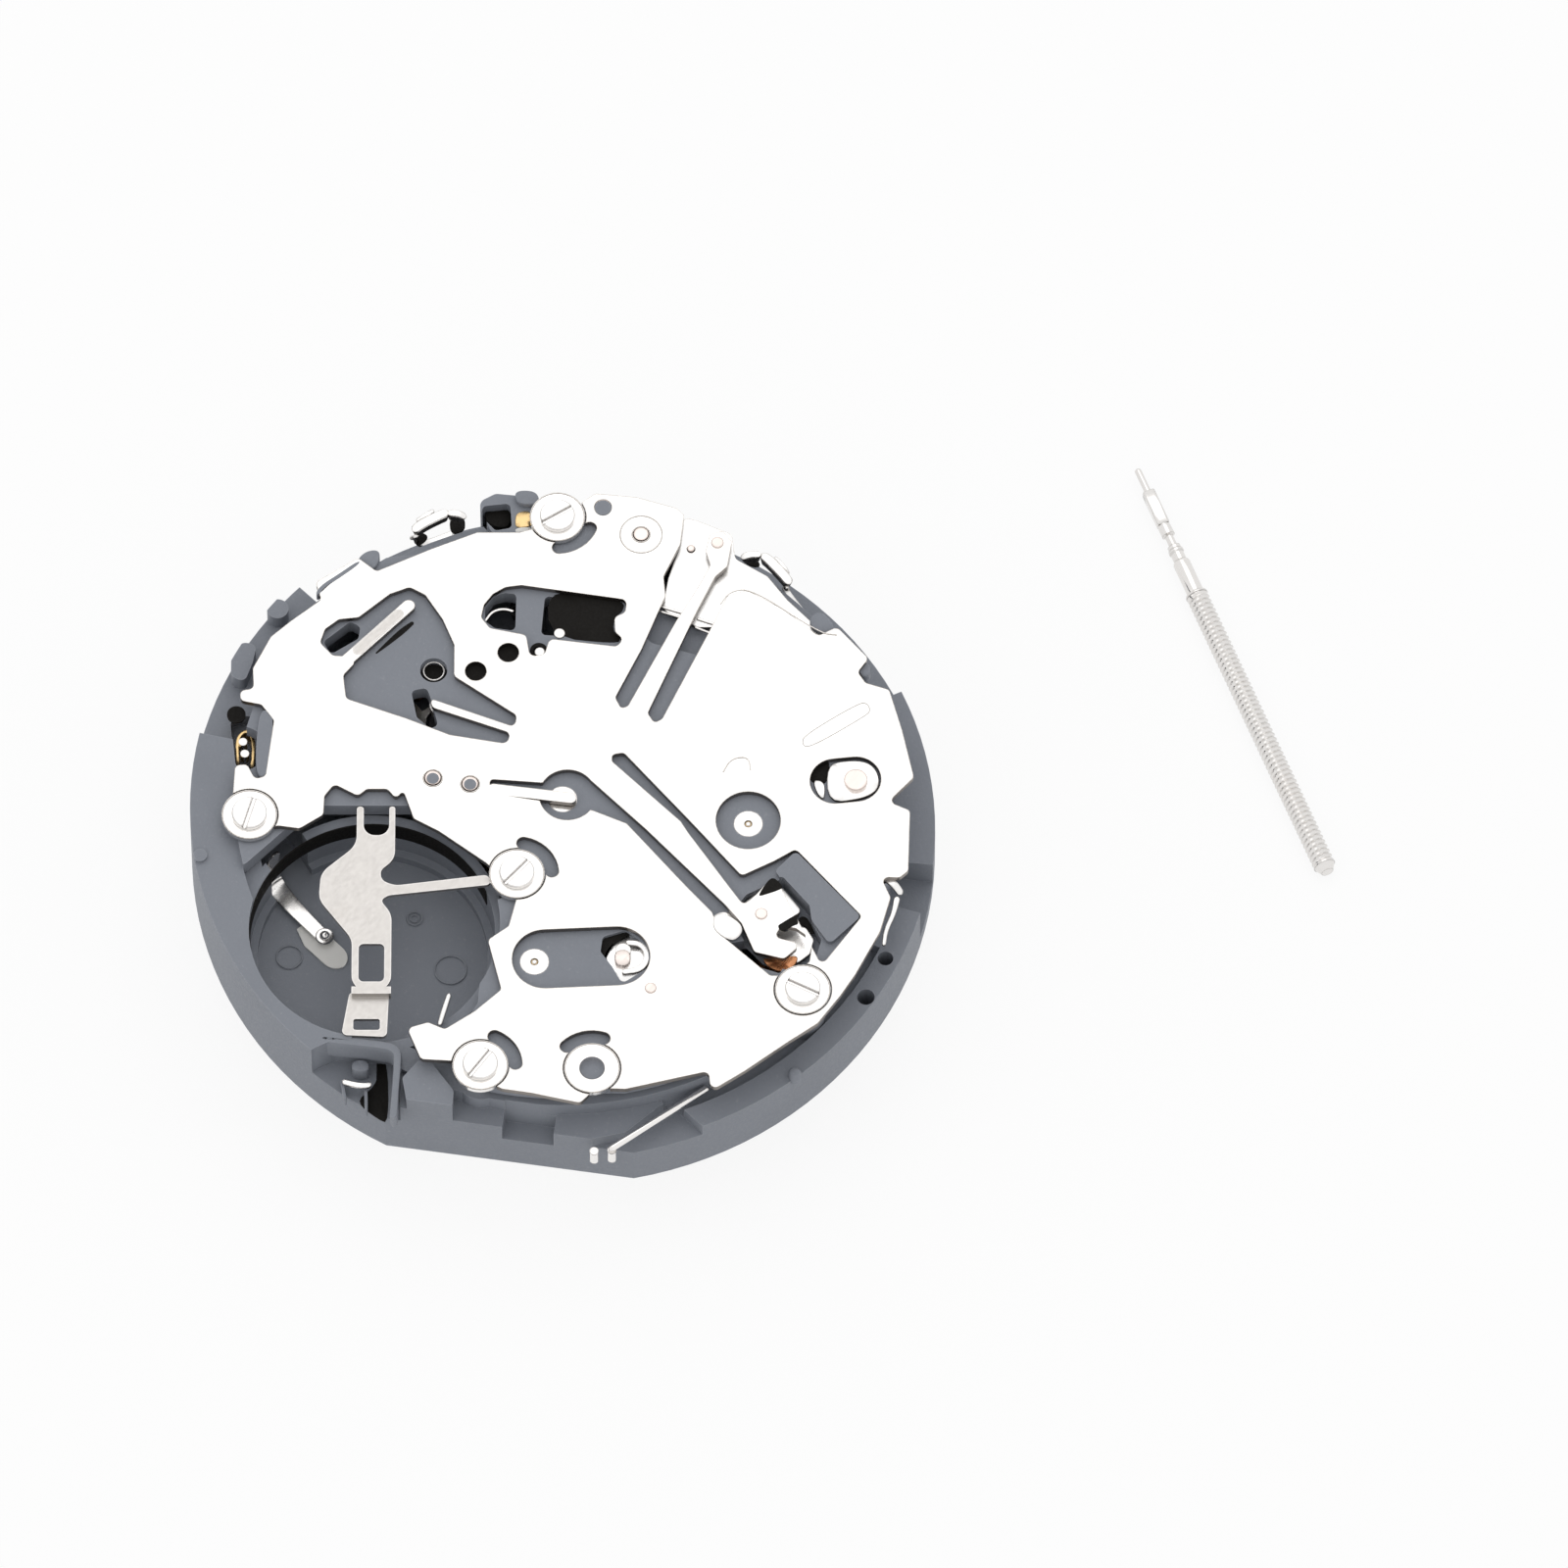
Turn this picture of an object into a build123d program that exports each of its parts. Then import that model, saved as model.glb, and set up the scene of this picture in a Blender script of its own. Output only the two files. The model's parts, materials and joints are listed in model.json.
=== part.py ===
from build123d import *
import math
import os

# Quartz chronograph movement, battery side up, standing on its hand posts.
# Origin: centre of the movement on the dial-seat plane. +Z points to the battery side,
# +X to the crown side (3 o'clock), so 12 o'clock is -Y. All lengths are millimetres.

# Overall sizes
movement_radius = 14.7
flat_cut = 0.85
rim_width = 1.6
body_wall = 1.0
flat_distance = movement_radius - flat_cut
body_radius = movement_radius - rim_width
cavity_radius = body_radius - body_wall
rim_top = 4.2
rim_rise = 0.5
body_top = rim_top - rim_rise
cavity_floor = 1.6
overrun = 0.5
quarter_turn = 90
full_turn = 360

# Places read off the photograph: named pixels, turned into millimetres by the camera's
# angle above the dial plane, its turn about the vertical and the movement's own radius.
radius_px = 379.0
centre_x_px = 575.0
seat_y_px = 871.0
camera_height_deg = 62.1
camera_turn_deg = 81.5
camera_height = math.radians(camera_height_deg)
camera_turn = math.radians(camera_turn_deg)
mm_per_px = movement_radius / radius_px


def spot(x_px, y_px, level):
    """Place in the movement of a photographed point that lies at the given level."""
    across = (x_px - centre_x_px) * mm_per_px
    level_y_px = seat_y_px - level * math.cos(camera_height) / mm_per_px
    up = (level_y_px - y_px) * mm_per_px / math.sin(camera_height)
    c, s = math.cos(camera_turn), math.sin(camera_turn)
    return (across * c + up * s, up * c - across * s)


def spots(points_px, level):
    return [spot(x_px, y_px, level) for x_px, y_px in points_px]


# Plates and frame
web_thickness = 0.6
dial_recess_depth = cavity_floor - web_thickness
dial_seat_width = 1.5
ring_shelf_width = 1.7
ring_recess_radius = movement_radius - dial_seat_width
dial_recess_radius = ring_recess_radius - ring_shelf_width
ring_recess_depth = 0.55
frame_lift = 0.15
frame_bottom = body_top + frame_lift
frame_thickness = 0.75
frame_top = frame_bottom + frame_thickness
frame_inset = 0.2
frame_radius = body_radius - frame_inset
plate_gap = 0.05
plate_thickness = 0.25
plate_bottom = frame_top + plate_gap
plate_top = plate_bottom + plate_thickness
running_gap = 0.03
side_gap = 0.12

# Battery well
battery_radius = 4.75
well_gap = 0.1
well_radius = battery_radius + well_gap
well_wall = 0.4
well_floor = 1.25
cell_seat = 1.73
cell_ledge = 0.3
well_centre_px = (382, 951.5)
well_centre = spot(*well_centre_px, body_top)

# Hand posts, measured down from the dial seat. Each hand seat ends at a shoulder, where the
# thicker pipe or arbor behind it begins. That one widens slightly away from the seat.
hour_post_radius = 0.60
hour_post_length = 0.75
hour_pipe_radius = 0.68
minute_post_radius = 0.35
minute_post_length = 1.35
minute_pipe_radius = 0.42
seconds_post_radius = 0.10
seconds_post_length = 2.2
seconds_staff_radius = 0.16
small_post_radius = 0.10
small_post_length = 1.0
small_staff_radius = 0.17
counter_post_radius = 0.125
counter_staff_radius = 0.19
shoulder_gap = 0.04
taper_share = 0.02

# Fine arbors and gear blanks
arbor_radius = 0.12
gear_thickness = 0.15
pinion_thickness = 0.3
bush_radius = 0.58
bush_thickness = 0.35

# Screws and pillars
screw_head_radius = 0.7
screw_head_height = 0.22
screw_shank_radius = 0.3
screw_length = 1.7
slot_width = 0.16
pillar_flange_radius = 1.1
pillar_radius = 0.55
pillar_flange_thickness = 0.22
pillar_hole_radius = screw_shank_radius + running_gap

# Setting stem, loose on the same surface
stem_thread_radius = 0.45
stem_thread_length = 13.1
stem_hub_radius = 0.35
stem_hub_length = 1.57
stem_lip_radius = 0.46
stem_lip_length = 0.12
stem_neck_radius = 0.27
stem_neck_length = 1.8
stem_collar_radius = 0.31
stem_collar_length = 0.12
stem_square_side = 0.5
stem_square_length = 1.6
stem_pilot_radius = 0.14
stem_pilot_length = 1.14
stem_cone_length = 0.3
stem_level = 1.95
stem_hole_radius = 0.55


def solid_between(face, low, high):
    """A flat face at height zero, raised to fill the levels from low to high."""
    return Pos(0, 0, low) * extrude(face, high - low)


def disc(radius, low, high, centre=(0, 0)):
    body = Cylinder(radius, high - low, align=(Align.CENTER, Align.CENTER, Align.MIN))
    return Pos(centre[0], centre[1], low) * body


def tapered(radius, low, high, centre=(0, 0)):
    """A pipe or staff that starts at the radius and widens by the taper's share to its top."""
    body = Cone(radius, radius * (1 + taper_share), high - low, align=(Align.CENTER, Align.CENTER, Align.MIN))
    return Pos(centre[0], centre[1], low) * body


def ring(outer, inner, low, high, centre=(0, 0)):
    drill = disc(inner, low - overrun, high + overrun, centre)
    return disc(outer, low, high, centre) - drill


def block(x_low, x_high, y_low, y_high, low, high):
    size = (x_high - x_low, y_high - y_low, high - low)
    body = Box(*size, align=(Align.MIN, Align.MIN, Align.MIN))
    return Pos(x_low, y_low, low) * body


straight_deg = 4
corner_reach_share = 0.45


def outline(points, corner=0.0):
    """Closed flat face through the points, its corners rounded by arcs up to the given radius."""
    if corner <= 0:
        return make_face(Polyline(*points, close=True))
    count = len(points)
    joins = []
    for i in range(count):
        here = Vector(*points[i])
        before = Vector(*points[i - 1]) - here
        after = Vector(*points[(i + 1) % count]) - here
        turn = math.radians(180 - before.get_angle(after))
        if turn < math.radians(straight_deg):
            joins.append((here, None, here))
            continue
        most = corner_reach_share * min(before.length, after.length)
        reach = min(corner * math.tan(turn / 2), most)
        radius = reach / math.tan(turn / 2)
        inward = (before.normalized() + after.normalized()).normalized()
        middle = here + inward * (radius / math.cos(turn / 2) - radius)
        joins.append((here + before.normalized() * reach, middle, here + after.normalized() * reach))
    edges = []
    for i in range(count):
        start, middle, end = joins[i]
        if middle is not None:
            edges.append(ThreePointArc(start, middle, end))
        edges.append(Line(end, joins[(i + 1) % count][0]))
    return make_face(edges)


soft_corner = 0.35
plate_corner = 0.22
window_corner = 0.25
slot_corner = 0.2
fine_corner = 0.1


def photo_face(points_px, level, corner=soft_corner):
    return outline(spots(points_px, level), corner)


def photo_solid(points_px, low, high, corner=soft_corner):
    """A flat piece whose photographed outline is that of its upper face."""
    return solid_between(photo_face(points_px, high, corner), low, high)


def bar(start, end, width, low, high):
    """A straight bar with round ends between two places."""
    span = Vector(*end) - Vector(*start)
    turn = math.degrees(math.atan2(span.Y, span.X))
    middle = (Vector(*start) + Vector(*end)) / 2
    face = SlotCenterToCenter(span.length, width)
    return Pos(middle.X, middle.Y, 0) * Rot(0, 0, turn) * solid_between(face, low, high)


def beside(centre, reach, angle):
    turn = math.radians(angle)
    return (centre[0] + reach * math.cos(turn), centre[1] + reach * math.sin(turn))


def meeting(first, first_reach, second, second_reach, side):
    """The place at the two given distances from two arbors, on the chosen side of their line."""
    span = Vector(*second) - Vector(*first)
    along = (first_reach ** 2 - second_reach ** 2 + span.length ** 2) / (2 * span.length)
    aside = math.sqrt(max(first_reach ** 2 - along ** 2, 0)) * side
    unit = span.normalized()
    return (first[0] + unit.X * along - unit.Y * aside, first[1] + unit.Y * along + unit.X * aside)


def gap_between(first, second):
    return math.dist(first, second)


def mesh_turn(centre, teeth, turn, other, other_teeth):
    """Turn of a second gear whose gap then faces the tooth of a first one, in radians."""
    line = math.atan2(other[1] - centre[1], other[0] - centre[0])
    ahead = (turn - line) % (2 * math.pi / teeth)
    return line + math.pi - ahead * teeth / other_teeth + math.pi / other_teeth


tooth_height_share = 0.85
tooth_depth_share = 1.15
tooth_root_share = 0.62
tooth_pitch_share = 0.43
tooth_tip_share = 0.2


def gear(centre, teeth, module, turn, low, high, bore=0):
    """A spur gear: the tooth is a share of the pitch at its root, at the pitch circle and at its tip."""
    pitch_radius = teeth * module / 2
    step = 2 * math.pi / teeth
    root = pitch_radius - tooth_depth_share * module
    tip = pitch_radius + tooth_height_share * module
    shape = (
        (root, -tooth_root_share), (pitch_radius, -tooth_pitch_share), (tip, -tooth_tip_share),
        (tip, tooth_tip_share), (pitch_radius, tooth_pitch_share), (root, tooth_root_share),
    )
    points = []
    for i in range(teeth):
        for radius, share in shape:
            angle = turn + step * (i + share / 2)
            points.append((centre[0] + radius * math.cos(angle), centre[1] + radius * math.sin(angle)))
    body = solid_between(outline(points), low, high)
    if bore > 0:
        body -= disc(bore, low - overrun, high + overrun, centre)
    return body


arm_hub_share = 0.3
arm_rim_share = 0.12


def wheel_openings(centre, rim, hub, count, low, high):
    """The openings between the arms of a wheel, to be cut from it."""
    ring_body = ring(rim, hub, low - overrun, high + overrun, centre)
    arm = arm_hub_share * hub + arm_rim_share * rim
    for i in range(count):
        spoke = Pos(centre[0], centre[1], 0) * Rot(0, 0, 360 * i / count)
        ring_body -= spoke * block(0, rim + overrun, -arm / 2, arm / 2, low - 2 * overrun, high + 2 * overrun)
    return ring_body


heart_notch_share = 0.34
heart_round_share = 0.2
heart_steps = 7


def heart(centre, size, turn, low, high):
    """A heart cam: its radius grows evenly from the notch to the point on both sides."""
    small = heart_notch_share * size
    right = []
    for i in range(heart_steps + 1):
        angle = math.pi * i / heart_steps
        radius = small + (size - small) * i / heart_steps
        right.append((radius * math.sin(angle), -radius * math.cos(angle)))
    left = [(-x, y) for x, y in reversed(right[1:-1])]
    face = outline(right + left, heart_round_share * size)
    return Pos(centre[0], centre[1], 0) * Rot(0, 0, turn) * solid_between(face, low, high)


# Arbor places
centre = (0.0, 0.0)
small_seconds = (0.0, -7.4)
minute_counter = (-7.3, 0.0)

centre_teeth, centre_module = 64, 0.112
leaf_teeth = 8
third_teeth, third_module = 60, 0.1
step_angle, rotor_angle = 165, 187
counting_angle, chrono_angle, chrono_rotor_angle = -150, 40, 75
minute_angle, date_angle = -30, 80
seconds_teeth, seconds_module = 40, 0.09
step_teeth = 48

third_reach = (centre_teeth + leaf_teeth) * centre_module / 2
third_back = (third_teeth + leaf_teeth) * third_module / 2
third = meeting(centre, third_reach, small_seconds, third_back, 1)
step_back = (seconds_teeth + leaf_teeth) * seconds_module / 2
step_arbor = beside(small_seconds, step_back, step_angle)
rotor_reach = (step_teeth + leaf_teeth) * seconds_module / 2
rotor_arbor = beside(step_arbor, rotor_reach, rotor_angle)

counting_teeth, counting_module = 60, 0.115
counting_reach = (counting_teeth + leaf_teeth) * counting_module / 2
counting = beside(centre, counting_reach, counting_angle)
counter_teeth = 64
counter_module = 2 * gap_between(counting, minute_counter) / (counter_teeth + leaf_teeth)

drive_teeth, drive_leaves, drive_module = 80, 10, 0.086
chrono_teeth = 60
chrono_reach = (drive_teeth + drive_leaves) * drive_module / 2
chrono_arbor = beside(centre, chrono_reach, chrono_angle)
chrono_back = (chrono_teeth + leaf_teeth) * drive_module / 2
chrono_rotor_arbor = beside(chrono_arbor, chrono_back, chrono_rotor_angle)

motion_module = 0.1
cannon_teeth, minute_teeth, minute_leaves, hour_teeth = 10, 30, 8, 32
minute_arbor = beside(centre, (cannon_teeth + minute_teeth) * motion_module / 2, minute_angle)
setting_teeth, second_setting_teeth = 16, 20
setting_reach = (minute_teeth + setting_teeth) * motion_module / 2
setting_x = minute_arbor[0] + math.sqrt(setting_reach ** 2 - minute_arbor[1] ** 2)
setting_arbor = (setting_x, 0.0)
second_setting_x = setting_x + (setting_teeth + second_setting_teeth) * motion_module / 2
second_setting_arbor = (second_setting_x, 0.0)
between_teeth, date_teeth, date_module = 60, 64, 0.06
between_reach = (hour_teeth + between_teeth) * motion_module / 2
date_between = beside(centre, between_reach, date_angle)
date_reach = (between_teeth + date_teeth) * date_module / 2
date_arbor = beside(date_between, date_reach, date_angle)

# Levels inside the cavity, each wheel with its own: the rise of each above the one before
centre_rise, third_rise, seconds_rise, step_rise = 0.12, 0.45, 0.6, 0.5
counting_rise, drive_rise, chrono_rise, heart_rise = 0.58, 0.25, 0.33, 0.15
centre_level = cavity_floor + centre_rise
third_level = centre_level + third_rise
rotor_low = 2.15
seconds_level = third_level + seconds_rise
step_level = seconds_level + step_rise
seconds_pinion_level = third_level
counting_level = third_level + counting_rise
drive_level = counting_level + drive_rise
chrono_level = drive_level + chrono_rise
heart_level = chrono_level + heart_rise
heart_thickness = 0.22
heart_size = 0.85
# Levels under the dial side
motion_low = 0.34
date_level = 0.66
counter_level = 0.70
motion_thickness = 0.2
date_thickness = 0.18
tooth_overlap = 0.02
pinion_drop = 0.05

# Where screws and pillars stand, in pixels at the steel plate's level
screw_px = [(568.5, 527), (257, 831), (529, 891), (493, 1084), (819, 1008)]
screw_slot_angles = [130, 172, 146, 152, 252]
empty_pillar_px = (606, 1087)
screws_at = spots(screw_px, plate_top)
empty_pillar_at = spot(*empty_pillar_px, plate_top)
short_screw = 2

# The steel plate's outline and its openings, in pixels
plate_px = [
    (549, 538), (566, 514), (588, 516), (607, 503), (650, 507), (690, 518), (698, 525), (694, 555),
    (677, 588), (679, 608), (655, 662), (628, 712), (634, 723), (641, 721), (690, 634), (714, 596),
    (725, 576), (720, 562), (724, 545), (737, 541), (747, 552), (742, 578), (730, 588), (712, 622),
    (661, 728), (668, 738), (676, 734), (722, 648), (742, 608), (762, 602), (800, 622), (835, 649),
    (854, 640), (886, 672), (875, 686), (883, 697), (907, 704), (920, 745), (932, 793), (906, 818),
    (928, 827), (926, 888), (917, 895), (898, 894), (908, 915), (897, 950), (872, 993), (857, 1014),
    (834, 1042), (805, 1060), (760, 1090), (726, 1110), (724, 1090), (640, 1108), (610, 1107),
    (594, 1122), (545, 1112), (516, 1108), (497, 1100), (470, 1080), (433, 1078), (419, 1047),
    (440, 1041), (457, 1048), (487, 1030), (514, 1008), (500, 958), (521, 944), (530, 912),
    (498, 880), (450, 848), (424, 835), (413, 806), (406, 815), (397, 805), (376, 805), (367, 812),
    (343, 800), (333, 812), (332, 831), (308, 845), (285, 842), (262, 858), (238, 842), (240, 812),
    (242, 781), (254, 780), (262, 795), (273, 792), (281, 735), (268, 719), (247, 715), (246, 705),
    (260, 703), (259, 682), (277, 650), (297, 634), (328, 612), (322, 594), (365, 569), (384, 583),
    (440, 560), (487, 543), (530, 543),
]
bird_window_px = [
    (418, 599), (434, 607), (452, 632), (464, 658), (464, 690), (528, 730), (526, 742), (440, 713),
    (442, 722), (522, 748), (518, 759), (460, 750), (415, 733), (354, 713), (351, 689), (368, 671),
    (340, 669), (327, 656), (332, 642), (346, 632), (366, 630), (398, 606),
]
setting_window_px = [
    (491, 630), (494, 617), (503, 606), (516, 599), (532, 597), (640, 612), (638, 625), (627, 630),
    (628, 645), (636, 652), (630, 660), (561, 652), (556, 668), (541, 670), (537, 648), (500, 641),
]
centre_slot_px = [
    (501, 795), (560, 799), (600, 793), (660, 846), (740, 922), (757, 941),
    (770, 970), (800, 977), (818, 962), (790, 955), (797, 944), (812, 946), (829, 958), (826, 980),
    (806, 994), (786, 994), (735, 952), (727, 930), (700, 903), (640, 840), (606, 827), (560, 818),
    (505, 810), (501, 803),
]
diagonal_slot_px = [
    (625, 770), (637, 768), (705, 838), (757, 893), (790, 878), (812, 866), (879, 934), (838, 984),
    (790, 892), (772, 912), (759, 923), (745, 905), (703, 850), (695, 838), (625, 777),
]
# Long round windows: the centres of their two ends and their width
rivet_window_px, rivet_window_width = [(852, 797), (873, 795)], 2.0
counter_window_px, counter_window_width = [(558, 977), (631, 974)], 2.6
round_holes_px = [
    (519, 666, 11), (486, 685, 11), (615, 517, 9), (443, 794, 9), (481, 800, 9), (654, 545, 9),
]
small_seconds_window_px = 33
keyhole_px = (580, 811, 29)
# Round reliefs beside four of the pillars: the pillar's number and the relief's two ends
reliefs_px = [
    (0, (570, 554), (600, 538)),
    (2, (536, 858), (568, 888)),
    (3, (508, 1054), (533, 1082)),
    (5, (579, 1064), (617, 1058)),
]


def relief(place, ends_px, level):
    """A piece of a ring round a pillar, from one photographed end to the other."""
    angles = []
    for end in spots(ends_px, level):
        angles.append(math.degrees(math.atan2(end[1] - place[1], end[0] - place[0])))
    start, stop = sorted(angles)
    if stop - start > full_turn / 2:
        start, stop = stop, start + full_turn
    low, high = plate_bottom - overrun, plate_top + overrun
    sector = rim_sector(start, stop, relief_inner, relief_outer, low, high)
    middle = (relief_inner + relief_outer) / 2
    body = Pos(place[0], place[1], 0) * sector
    for angle in (start, stop):
        body += disc((relief_outer - relief_inner) / 2, low, high, beside(place, middle, angle))
    return body


def through(face_px, corner=window_corner):
    face = photo_face(face_px, plate_top, corner)
    return solid_between(face, plate_bottom - overrun, plate_top + overrun)


pillar_gap = 0.05
relief_inner, relief_outer = 1.1, 1.66
leaf_px, leaf_width = [(352, 676), (417, 618)], 0.5
finger_px, finger_width = [(505, 805), (583, 814)], 0.46


def make_top_plate():
    """The bright steel plate: its windows and slots, the pillar holes, the bent leaf arm."""
    plate = photo_solid(plate_px, plate_bottom, plate_top, plate_corner)
    for window_px in (bird_window_px, setting_window_px):
        plate -= through(window_px)
    low, high = plate_bottom - overrun, plate_top + overrun
    plate -= bar(*spots(rivet_window_px, plate_top), rivet_window_width, low, high)
    plate -= bar(*spots(counter_window_px, plate_top), counter_window_width, low, high)
    for window_px in (centre_slot_px, diagonal_slot_px):
        plate -= through(window_px, slot_corner)
    for x_px, y_px, hole_px in round_holes_px + [keyhole_px]:
        plate -= disc(hole_px * mm_per_px, low, high, spot(x_px, y_px, plate_top))
    plate -= disc(small_seconds_window_px * mm_per_px, low, high, small_seconds)
    pillars_at = screws_at + [empty_pillar_at]
    for place in pillars_at:
        plate -= disc(pillar_flange_radius + pillar_gap, low, high, place)
    for index, *ends_px in reliefs_px:
        plate -= relief(pillars_at[index], ends_px, plate_top)
    for ends_px, width in ((leaf_px, leaf_width), (finger_px, finger_width)):
        plate += bar(*spots(ends_px, plate_top), width, plate_bottom, plate_top)
    return largest(plate)


def largest(body):
    return max(body.solids(), key=lambda piece: piece.volume)


wedge_deg = 60


def rim_sector(start, stop, inner, outer, low, high):
    """A sector of a ring between two compass angles, in degrees."""
    body = ring(outer, inner, low, high)
    span = stop - start
    reach = 2 * outer
    cuts = max(1, math.ceil(span / wedge_deg))
    keep = None
    for i in range(cuts):
        first = math.radians(start + span * i / cuts)
        last = math.radians(start + span * (i + 1) / cuts)
        wedge = outline([
            (0, 0),
            (reach * math.cos(first), reach * math.sin(first)),
            (reach * math.cos(last), reach * math.sin(last)),
        ])
        piece = solid_between(wedge, low, high)
        keep = piece if keep is None else keep + piece
    return body & keep


# Steps of the outer rim: start and stop angle, level of its top
rim_left, rim_middle, rim_ledge, rim_right, rim_low, rim_flange = 3.1, 3.4, 2.9, 2.2, 1.4, 0.75
rim_steps = [
    (54, 86, rim_left), (86, 150, rim_top), (150, 168, rim_middle), (168, 192, rim_ledge),
    (192, 262, rim_ledge), (262, 272, rim_flange), (272, 303, rim_right), (303, 345, rim_flange),
    (345, 375, rim_low), (375, 414, rim_flange),
]
ledge_step = (206, 254)
ledge_step_width = 0.65
ledge_step_radius = body_radius + ledge_step_width
ledge_step_top = 2.3
rim_holes_px = [(883, 1016, 9), (903, 977, 8)]
rim_hole_depth = 1.4
rim_post_px, rim_post_radius = (811, 1095), 0.3
left_posts_px = [(283, 621, 11, 3.9), (207, 872, 7, 4.35)]
left_lobe_top = 3.9
left_lobe_px = [(236, 690), (236, 668), (247, 655), (262, 658), (258, 676), (250, 696)]
wedge_px = [(414, 1097), (430, 1080), (442, 1080), (466, 1110), (464, 1131), (419, 1122)]
wedge_rise = 0.5
wire_pocket_px = [(676, 1124), (690, 1122), (722, 1150), (706, 1172), (652, 1182), (600, 1178), (600, 1160),
                  (640, 1152)]
wire_pocket_floor = 2.2
flat_notch_start, flat_notch_stop = -1.75, 0.3
flat_notch_depth, flat_notch_floor = 0.8, 1.9
crown_block_px = [(487, 512), (505, 503), (526, 505), (545, 503), (550, 515), (549, 542), (502, 545)]
crown_block_low, crown_block_top = 2.4, 4.4
crown_pocket_px = [(491, 516), (520, 513), (522, 538), (505, 541), (492, 528)]
crown_pocket_floor = 2.8
dial_feet_angles = (58, 238)
dial_foot_radius = 0.4
dial_foot_depth = 2.0
dial_foot_inset = 0.95
dial_foot_reach = movement_radius - dial_foot_inset
foot_boss_radius = 0.8
foot_boss_cap = 0.3


def bearing_places():
    return {
        "centre": centre, "small_seconds": small_seconds, "minute_counter": minute_counter,
        "third": third, "step": step_arbor, "rotor": rotor_arbor, "counting": counting,
        "chrono": chrono_arbor, "chrono_rotor": chrono_rotor_arbor,
    }


blind_bearings = ("third", "step", "counting", "chrono", "chrono_rotor")
flange_thickness = 0.2
rim_lap = 0.2
boss_wall = 0.35
pillar_seat = 0.3


def rim_details(body):
    """The rim's small forms: inner step, posts, drilled holes, wedge, wire pocket, notch and crown block."""
    start, stop = ledge_step
    body -= rim_sector(start, stop, body_radius, ledge_step_radius, ledge_step_top, rim_top)
    post_place = spot(*rim_post_px, rim_ledge)
    body += disc(rim_post_radius, ledge_step_top - rim_lap, rim_ledge, post_place)
    for x_px, y_px, hole_px in rim_holes_px:
        place = spot(x_px, y_px, rim_ledge)
        body -= disc(hole_px * mm_per_px, rim_ledge - rim_hole_depth, rim_top, place)
    for x_px, y_px, post_px, top in left_posts_px:
        body += disc(post_px * mm_per_px, rim_flange, top, spot(x_px, y_px, top))
    body += photo_solid(left_lobe_px, rim_flange, left_lobe_top)
    body += photo_solid(wedge_px, rim_low, body_top + wedge_rise, slot_corner)
    pocket = photo_face(wire_pocket_px, rim_ledge)
    body -= solid_between(pocket, wire_pocket_floor, rim_top + overrun)
    body -= block(-movement_radius, -flat_distance + flat_notch_depth, flat_notch_start, flat_notch_stop,
                  flat_notch_floor, rim_top)
    body += photo_solid(crown_block_px, crown_block_low, crown_block_top)
    crown_pocket = photo_face(crown_pocket_px, crown_block_top, slot_corner)
    return body - solid_between(crown_pocket, crown_pocket_floor, crown_block_top + overrun)


def make_main_plate():
    """The grey base: dial seat, web, ring wall, battery well and the stepped rim."""
    body = disc(movement_radius, 0, ring_recess_depth + flange_thickness)
    body += disc(body_radius, 0, body_top)
    for start, stop, top in rim_steps:
        body += rim_sector(start, stop, body_radius - rim_lap, movement_radius, 0, top)
    body = rim_details(body)
    body -= disc(cavity_radius, cavity_floor, body_top + overrun)
    wall_radius = well_radius + well_wall
    body += disc(wall_radius, dial_recess_depth, body_top, well_centre) & disc(movement_radius, 0, rim_top)
    for place in (screws_at[0], screws_at[1], screws_at[3], screws_at[4], empty_pillar_at):
        body += disc(pillar_radius + boss_wall, cavity_floor, body_top, place)
    feet = [beside(centre, dial_foot_reach, angle) for angle in dial_feet_angles]
    for foot in feet:
        body += disc(foot_boss_radius, 0, dial_foot_depth + foot_boss_cap, foot)
    body -= disc(ring_recess_radius, -overrun, ring_recess_depth)
    body -= disc(dial_recess_radius, -overrun, dial_recess_depth)
    for foot in feet:
        body -= disc(dial_foot_radius, -overrun, dial_foot_depth, foot)
    for place in board_posts:
        body += disc(board_post_radius, cavity_floor, board_low, place)
    body -= disc(well_radius, cell_seat, rim_top + overrun, well_centre)
    body -= disc(well_radius - cell_ledge, well_floor, rim_top + overrun, well_centre)
    body -= block(-movement_radius - overrun, -flat_distance, -movement_radius, movement_radius,
                  -overrun, rim_top + overrun)
    body = body & disc(movement_radius, 0, crown_block_top)
    body += stem_channel()
    body -= Pos(channel_low_x, 0, stem_level) * Rot(0, 90, 0) * Cylinder(
        stem_hole_radius, 2 * (movement_radius - channel_low_x))
    body -= keyless_slot()
    for place in bearing_places().values():
        body -= disc(arbor_radius + running_gap, foot_level - press_gap, cavity_floor + overrun, place)
    for place, radius in ((small_seconds, small_staff_radius), (minute_counter, counter_staff_radius),
                          (centre, minute_pipe_radius), (counting, arbor_radius)):
        body -= disc(radius + running_gap, -overrun, cavity_floor + overrun, place)
    for place in (screws_at[0], screws_at[1], screws_at[3], screws_at[4], empty_pillar_at):
        body -= disc(screw_shank_radius + running_gap, plate_top - screw_length - side_gap,
                     rim_top + overrun, place)
        body -= disc(pillar_radius + running_gap, body_top - pillar_seat, rim_top + overrun, place)
    for place in (hammer_pivot, setting_pivot, yoke_pivot):
        body -= disc(stud_radius + press_gap, foot_level, cavity_floor + overrun, place)
    lever_place = spot(*operating_pivot_px, lever_bottom + lever_thickness)
    body -= disc(stud_radius + press_gap, body_top - pillar_seat, rim_top + overrun, lever_place)
    body -= clamp_hook_pocket()
    body -= contact_pocket()
    body -= spring_channel()
    for angle in contact_angles.values():
        body -= contact_notch(angle)
    return largest(body)


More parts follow.
